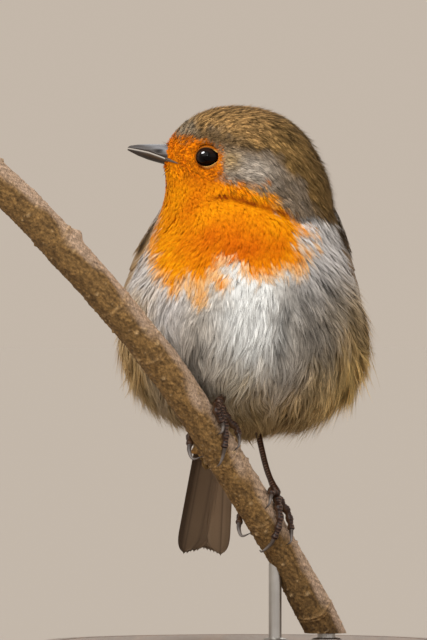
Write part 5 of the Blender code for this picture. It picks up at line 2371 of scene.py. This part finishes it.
        # partly painted light: the edge facing up and towards +X is paler and pinkish
        light = outward @ np.array((0.80, 0.0, 0.60))
        edge = step(light + ripple(lie * (1, 1, 0.4), 4.0, 54) * 0.22, 0.25, 0.85)
        dark = display(92, 68, 38)
        tint = plain(display(142, 110, 65), len(lie))
        tint = blended(tint, dark, 0.7 * step(ripple(lie * (1, 1, 0.6), 0.9, 55), -0.3, 0.9))
        tint *= (1.0 - 0.35 * step(lie[:, 2], 120.0, 165.0))[:, None]
        tint = overlaid(
            # painted light along the upper edge, and painted shade on the side facing down
            tint, (display(204, 178, 156), 0.75 * edge), (dark, 0.4 * step(-outward[:, 2], 0.3, 0.9)),
            (display(196, 166, 122), np.clip(pore, 0, 1) * 0.7),
            (display(178, 144, 98), np.clip(ring, 0, 1) * 0.45),
        )
        return tint * (0.93 + 0.20 * ripple(lie, 0.55, 59) + 0.10 * ripple(lie, 1.4, 60))[:, None]

    def _pores(self, lie: Array) -> tuple[Array, Array]:
        """Pale raised pores, most of them tiny, as a colour mask and as a height."""
        rng = np.random.default_rng(56)
        turns = rng.uniform(0, FULL_TURN, self.pores)
        along = rng.uniform(0, lie[:, 2].max(), self.pores)
        middles = np.c_[np.cos(turns) * 4.8, np.sin(turns) * 4.8, along]
        sizes = rng.uniform(0.13, 0.24, self.pores) * np.where(rng.random(self.pores) < 0.16, 2.0, 1.0)
        pore, tall = np.zeros(len(lie)), np.zeros(len(lie))
        order = np.argsort(lie[:, 2])
        heights = lie[order, 2]
        for middle, size in zip(middles, sizes):
            low, high = np.searchsorted(heights, (middle[2] - 1.6, middle[2] + 1.6))
            near = order[low:high]
            away = (lie[near] - middle) * (1.0, 1.0, 1.2)
            bump = np.exp(-((away ** 2).sum(axis=1)) / (2 * size ** 2))
            pore[near] = np.maximum(pore[near], bump)
            tall[near] = np.maximum(tall[near], bump * size * 1.3)
        return pore, tall

    def _scars(self, gone: Array, degrees: Array) -> tuple[Array, Array]:
        """The ring scars, as a colour mask and as a height."""
        mask, height = np.zeros(len(gone)), np.zeros(len(gone))
        for scar in SCARS:
            turn = np.abs((degrees - scar.facing + 180.0) % 360.0 - 180.0)
            level = gone - self.at_height(scar.z) + 0.35 * np.sin(np.radians(degrees) * 3.0)
            here = np.exp(-((turn / scar.wide) ** 4))
            band = here * (hill((level, 0.0, 0.35)) + 0.6 * hill((level, 1.0, 0.25)))
            knob = hill((level, 0.0, 1.4), (turn, 0.0, 15.0))
            mask = np.maximum(mask, band)
            height = np.maximum(height, scar.raised * (band + 2.0 * knob))
        return mask, height


# --- feet ----------------------------------------------------------------------------------
class Knot(NamedTuple):
    """A place on the branch: along it from the foot, round it from its upper edge, above it.

    The angle is in degrees and grows towards -Y, the side that the bird faces.
    """

    along: float
    around: float
    lift: float


class Leg(NamedTuple):
    """One leg: where it leaves the plumage, where it stands, and its toes and claws."""

    side: str
    leaves: Point
    bends: Point
    stands_at: float            # height of the branch's middle line under the foot
    toes: tuple[tuple[Knot, ...], ...]
    claws: tuple[tuple[Knot, ...], ...]


LEGS = [
    Leg(
        "right", (-4.2, -12.0, 77.5), (-5.4, -18.4, 75.6), 69.6,
        (
            (Knot(1.6, -38, 0.9), Knot(3.4, -90, 0.8), Knot(4.6, -142, 0.8), Knot(5.6, -178, 1.0)),
            (Knot(3.2, -4, 1.2), Knot(5.8, 0, 1.2), Knot(8.4, 2, 1.8), Knot(9.8, 14, 1.3)),
            (Knot(2.6, 26, 0.9), Knot(4.6, 40, 0.9), Knot(7.2, 60, 0.8), Knot(9.2, 78, 0.8)),
            (Knot(-0.2, 34, 0.9), Knot(1.8, 42, 1.1), Knot(3.4, 46, 1.1)),
        ),
        (
            (Knot(6.4, -186, 1.9), Knot(8.2, -200, 2.6), Knot(8.8, -218, 0.5)),
            (Knot(10.3, 22, 1.4), Knot(11.2, 42, 1.5), Knot(11.6, 58, 0.4)),
            (Knot(10.2, 87, 1.0), Knot(11.9, 106, 1.5), Knot(12.8, 124, 0.4)),
            (Knot(4.1, 51, 1.3), Knot(4.8, 62, 1.5), Knot(5.0, 74, 0.4)),
        ),
    ),
    Leg(
        "left", (3.0, -1.0, 66.0), (5.3, -7.4, 56.2), 45.4,
        (
            (Knot(0.6, -42, 0.9), Knot(0.8, -90, 0.8), Knot(1.0, -140, 0.8), Knot(1.4, -176, 1.0)),
            (Knot(-2.2, 8, 1.0), Knot(-2.8, 24, 1.5), Knot(-2.6, 38, 1.3)),
            (Knot(2.0, 32, 0.9), Knot(4.0, 48, 1.0), Knot(6.2, 72, 0.8), Knot(7.8, 94, 0.8)),
            (Knot(2.9, 2, 1.3), Knot(5.2, 4, 1.5), Knot(7.6, 16, 1.0), Knot(9.2, 36, 0.9)),
        ),
        (
            (Knot(2.2, -186, 1.8), Knot(3.6, -200, 2.4), Knot(3.8, -220, 0.5)),
            (Knot(-2.3, 44, 1.5), Knot(-1.4, 58, 1.6), Knot(-0.6, 70, 0.4)),
            (Knot(8.6, 106, 1.0), Knot(9.6, 134, 1.5), Knot(10.0, 160, 0.4)),
            (Knot(9.9, 46, 1.1), Knot(10.9, 60, 1.5), Knot(11.3, 74, 0.4)),
        ),
    ),
]


@dataclass
class Foot:
    """One shank and its four toes in a scaly skin, with four claws."""

    leg: Leg
    branch: Branch
    toe: float = 0.98           # radius of a toe at its root
    ball: float = 1.45
    scute: float = 0.80         # length of one scale on top of a toe
    joint: float = 2.7          # distance between the joints, where it is thicker
    gap: float = 0.3
    toe_skin: Colour = display(50, 29, 20)
    shank_skin: Colour = display(56, 32, 15)

    def _on(self, knot: Knot) -> tuple[Array, Array]:
        """The place that a knot names, and the direction away from the branch there."""
        gone = self.branch.at_height(self.leg.stands_at) + knot.along
        middle, outward, radius = self.branch.frame(np.array(gone), np.array(float(knot.around)))
        return middle + outward * (radius + self.gap + knot.lift), outward

    def _nodes(self, part: str) -> list[str]:
        """The four CAD nodes of the toes or of the claws."""
        return [f"{self.leg.side}_{part}_{number}" for number in range(1, 5)]

    def build(self, scales: Material, horn: Material) -> None:
        """Makes the foot's skin and its claws."""
        skin = Bundle()
        for limb, radius in (self._shank(), *(self._toe(knots) for knots in self.leg.toes)):
            bm, gone, top = limb.mesh(22, max(24, int(limb.length / 0.13)), radius)
            base = self.toe_skin if skin.shapes else self.shank_skin
            skin.add(bm, self._tints(gone, top, base), np.c_[gone, top, top])
        nodes = [f"{self.leg.side}_tarsus", *self._nodes("toe")]
        skin.build(f"{self.leg.side}_foot_scales", scales, "leg_brown", nodes)
        self._claws(horn)

    def _shank(self) -> tuple[Limb, Callable[[float, float], float]]:
        """The shank down to the ball of the foot, and what gives its radius."""
        ball, _ = self._on(Knot(0.0, -4.0, self.ball))
        leaves, bends = np.array(self.leg.leaves), np.array(self.leg.bends)
        ankle = ball + unit(bends - ball) * self.ball * 1.5
        line = curve_through(np.array([leaves, bends, ankle, ball, ball - unit(ankle - ball) * 0.7]), 8)
        limb = Limb(line, np.tile((-0.3, -1.0, 0.0), (len(line), 1)))

        def radius(gone: float, top: float) -> float:
            """Thicker at the ankle, with a low step at each plate."""
            left = limb.length - gone
            base = np.interp(left, (0.0, 0.35, 1.1, 2.2, 3.6, 6.0), (0.1, 0.85, 1.30, 1.25, 0.95, 0.80))
            return base * (1.0 + (0.05 * ((gone / 1.9) % 1.0) - 0.02) * max(0.0, top))

        return limb, radius

    def _limb(self, start: Array, knots: Sequence[Knot], steps: int) -> Limb:
        """A limb that lies on the branch.

        Args:
            start: where it begins.
            knots: the places that it passes.
            steps: how many points it has from one place to the next.

        Returns:
            The limb.
        """
        places, outward = zip(*(self._on(knot) for knot in knots))
        line = curve_through(np.array([start, *places]), steps)
        return Limb(line, curve_through(np.array([outward[0], *outward]), steps))

    def _toe(self, knots: Sequence[Knot]) -> tuple[Limb, Callable[[float, float], float]]:
        """One toe from inside the ball of the foot to its claw, and what gives its radius."""
        ball, _ = self._on(Knot(0.0, -4.0, self.ball))
        limb = self._limb(ball + (self._on(knots[0])[0] - ball) * 0.25, knots, 8)

        def radius(gone: float, top: float) -> float:
            """Thicker at the joints and pads, ridged by the scales, and rounded at the tip."""
            left = limb.length - gone
            above = max(0.0, top)
            bulge = 0.15 * math.cos(FULL_TURN * (left - 0.7) / self.joint)
            scale = (0.18 * ((gone / self.scute) % 1.0) - 0.07) * above ** 0.7
            pad = 0.10 * abs(math.sin(FULL_TURN * gone / self.joint)) * max(0.0, -top)
            tip = math.sqrt(max(0.02, 1 - max(0.0, (0.6 - left) / 0.6) ** 2))
            return self.toe * (1.08 - 0.26 * gone / limb.length) * (1.0 + bulge + scale + pad) * tip

        return limb, radius

    def _tints(self, gone: Array, top: Array, base: Colour) -> Array:
        """Dark brown scales with paler edges on top, partly a painted highlight, and ochre pads beneath.

        Args:
            gone: how far along the limb each vertex is.
            top: how far it faces up, 1 to -1.
            base: the colour of the scales.

        Returns:
            One colour for each vertex.
        """
        above = step(top, -0.15, 0.35)
        saw = (gone / self.scute) % 1.0
        return overlaid(
            plain(base, len(gone)), (display(14, 8, 6), step(saw, 0.45, 0.10) * above),
            # partly painted highlight: pale scale edges on the faces that look up
            (display(140, 110, 94), 0.6 * step(saw, 0.6, 0.95) * above * step(top, 0.6, 0.97)),
            (display(76, 54, 36), 0.8 * (1 - above)),
        )

    def _claws(self, material: Material) -> None:
        """Makes the four claws: hooked, narrow and sharp."""
        claws = Bundle()
        for toe, knots in zip(self.leg.toes, self.leg.claws):
            before, root = (self._on(knot)[0] for knot in toe[-2:])
            limb = self._limb(root + unit(before - root) * 0.5, knots, 10)

            def radius(gone: float, top: float) -> float:
                """Narrow, and thinning to its tip."""
                taper = 0.62 * (1 - gone / limb.length) ** 0.8 + 0.03
                return taper * (0.80 + 0.28 * abs(top))

            bm, gone, top = limb.mesh(18, 40, radius)
            share = gone / limb.length
            claws.add(bm, overlaid(
                plain(display(70, 60, 54), len(share)),
                (display(40, 32, 28), step(np.abs(top), 0.8, 0.2) * 0.6),
                # painted highlight: a pale band along the middle of the claw
                (display(128, 120, 116), step(share, 0.15, 0.5) * step(share, 0.85, 0.6) * 0.5),
                (display(28, 22, 20), step(share, 0.72, 1.0)),
            ))
        claws.build(f"{self.leg.side}_claws", material, "claw_horn", self._nodes("claw"))


# --- stand ---------------------------------------------------------------------------------
@dataclass
class Stand:
    """The turned base and its two steel rods."""

    groove: float = 0.5         # depth of the groove near the rim
    ease: float = 1.6           # radius of the rim's rounded edge
    inset: float = 6.0          # from the rim to the groove
    flange: float = 1.6         # how far a rod's flange reaches past it
    sharp: float = math.radians(35)

    def build(self) -> None:
        """Makes the three pieces."""
        self._base()
        steel = SteelFinish().material()
        for node in ("stand_rod_end", "stand_rod_prop"):
            self._rod(node, steel)

    def _base(self) -> None:
        """A flat disc with an eased rim and one fine groove."""
        low, high = cad_box("stand_base")
        radius, top, inner = high.x, high.z, high.x - self.inset
        turns = [math.radians(degrees) for degrees in range(90, -1, -10)]
        middle = (radius - self.ease, top - self.ease)
        rim = [(middle[0] + self.ease * math.sin(a), middle[1] + self.ease * math.cos(a)) for a in turns]
        profile = [
            (0.0, low.z), (radius - 0.6, low.z), (radius, low.z + 0.6), (radius, top / 2), *rim,
            (inner + 1.0, top), (inner + 0.6, top - self.groove), (inner, top - self.groove),
            (inner - 0.4, top), (inner / 2, top), (0.0, top),
        ]
        dress = Dress(WoodFinish().material(), "stand_wood", replaced=["stand_base"])
        piece = finished("stand_disc", turned(profile, 128), dress)
        piece.data.set_sharp_from_angle(angle=self.sharp)

    def _rod(self, node: str, material: Material) -> None:
        """An upright rod with a small flange where it meets the base."""
        low, high = cad_box(node)
        radius, top = (high.x - low.x) / 2, high.z + 0.4
        floor = cad_box("stand_base")[1].z
        collar = min(1.1, (top - floor) * 0.4)
        profile = [
            (0.0, floor), (radius + self.flange, floor), (radius + self.flange, floor + collar * 0.5),
            (radius + self.flange * 0.75, floor + collar * 0.8), (radius, floor + collar),
            (radius, top - 0.15), (radius - 0.15, top), (0.0, top),
        ]
        bm = turned(profile, 48)
        centre = (low + high) / 2
        bmesh.ops.translate(bm, verts=bm.verts, vec=(centre.x, centre.y, 0.0))
        dress = Dress(material, "stand_rod", replaced=[node])
        piece = finished(node.replace("stand_rod", "stand_steel"), bm, dress)
        piece.data.set_sharp_from_angle(angle=self.sharp)


# --- studio --------------------------------------------------------------------------------
class Lamp(NamedTuple):
    """A distant soft light."""

    name: str
    towards: Point     # from the bird to the light
    strength: float                         # watts on a square metre that faces it
    angle: float                            # how wide it looks, in degrees
    colour: Colour
    eyes_only: bool = False                 # whether it lights nothing but the eyes


LAMPS = [
    Lamp("key", (-0.55, -0.62, 0.72), 1.8, 60.0, (1.0, 0.985, 0.96)),
    Lamp("glint", (-0.16, -0.88, 0.45), 0.5, 10.0, (1.0, 0.99, 0.97)),
    Lamp("eye_light", (-0.61, 0.0, 0.79), 17.0, 26.0, (1.0, 1.0, 1.0), True),
    Lamp("fill", (0.65, -0.72, 0.10), 0.8, 80.0, (0.97, 0.985, 1.0)),
    Lamp("back", (0.15, 0.75, 0.85), 0.9, 50.0, (1.0, 0.99, 0.97)),
]


@dataclass
class Studio:
    """Floor, soft lights and the camera."""

    camera_at: Point = (-0.0086, -2.5, 0.095)
    view_height: float = 0.1696     # how much the camera takes in at the model, in metres
    sensor: float = 36.0
    floor_size: float = 30.0
    air: Colour = (0.55, 0.475, 0.40)
    match: float = 0.975            # a little less, for the light that grazes the floor

    @staticmethod
    def _link(name: str, data: bpy.types.ID) -> bpy.types.Object:
        """Adds an object to the scene."""
        made = bpy.data.objects.new(name, data)
        bpy.context.scene.collection.objects.link(made)
        return made

    def build(self) -> None:
        """Makes the studio."""
        self._floor()
        self._world()
        for lamp in LAMPS:
            self._lamp(lamp)
        self._camera()
        bpy.context.scene.view_settings.view_transform = "Standard"

    def _floor(self) -> None:
        """A wide plain floor, painted so that under these lights it is as bright as the air behind it."""
        lit = np.array(self.air)
        for lamp in LAMPS:
            if not lamp.eyes_only:
                slope = Vector(lamp.towards).normalized().z
                lit = lit + np.array(lamp.colour) * lamp.strength * slope / math.pi
        paint = tuple(float(share) for share in np.array(self.air) / lit * self.match)
        bm = bmesh.new()
        bmesh.ops.create_grid(bm, x_segments=1, y_segments=1, size=self.floor_size)
        mesh = bpy.data.meshes.new("floor")
        bm.to_mesh(mesh)
        bm.free()
        mesh.materials.append(FloorFinish(colour=paint).material())
        self._link("floor", mesh)

    def _world(self) -> None:
        """Even soft light from all round."""
        world = bpy.data.worlds.new("studio_air")
        world.use_nodes = True
        background = world.node_tree.nodes["Background"]
        background.inputs["Color"].default_value = (*self.air, 1.0)
        background.inputs["Strength"].default_value = 1.0
        bpy.context.scene.world = world

    def _lamp(self, lamp: Lamp) -> None:
        """A sun lamp, wide enough for soft shadows."""
        light = bpy.data.lights.new(lamp.name, "SUN")
        light.energy = lamp.strength
        light.angle = math.radians(lamp.angle)
        light.color = lamp.colour
        made = self._link(lamp.name, light)
        made.location = Vector(lamp.towards)
        made.rotation_euler = (-Vector(lamp.towards)).to_track_quat("-Z", "Y").to_euler()
        if lamp.eyes_only:
            lit = bpy.data.collections.new(lamp.name)
            for side in SIDES:
                lit.objects.link(bpy.data.objects[f"{side}_eyeball"])
            made.light_linking.receiver_collection = lit
            made.light_linking.blocker_collection = lit

    def _camera(self) -> None:
        """A long lens, level with the middle of the bird and branch."""
        lens = bpy.data.cameras.new("camera")
        lens.sensor_width = self.sensor
        lens.lens = self.sensor * -self.camera_at[1] / self.view_height
        lens.clip_end = 100.0
        camera = self._link("camera", lens)
        camera.location = self.camera_at
        camera.rotation_euler = (math.pi / 2, 0.0, 0.0)
        bpy.context.scene.camera = camera


def main() -> None:
    """Builds the robin, its branch, its stand and the studio."""
    logging.basicConfig(level=logging.INFO, format="%(name)s %(message)s")
    lie, markings = CoatLie(), Markings()
    plumage = PlumageFinish().material()
    eyes = [Eye(side) for side in SIDES]
    skin = Skin(lie, markings)
    skin.build(plumage)
    for eye in eyes:
        bare = PlumageFinish("eyelid_skin", rough=(0.42, 0.16), sheen=(0.0, 0.45))
        eye.build(EyeFinish().material(), bare.material())
    Coat(skin.surface, lie, markings, eyes).build(plumage)
    vanes = VaneFinish().material()
    for side, tract in zip(SIDES, (Tract.LEFT_SHOULDER, Tract.RIGHT_SHOULDER)):
        wing = Wing(side)
        wing.build(vanes)
        Coat(wing.shoulder(), lie, ShoulderMarkings(), ()).cover(tract, 114.5, plumage)
    Tail().build(vanes)
    stiff = PlumageFinish("bristle", rough=(0.52, 0.16), sheen=(0.0, 0.45))
    Bill().build(skin.surface, HornFinish().material(), stiff.material())
    claw, scales = HornFinish("claw_horn", rough=(0.21, 0.18)).material(), ScaleFinish().material()
    branch = Branch()
    branch.build(BarkFinish().material())
    for leg in LEGS:
        Foot(leg, branch).build(scales, claw)
    Stand().build()
    Studio().build()


if __name__ == "__main__":
    main()
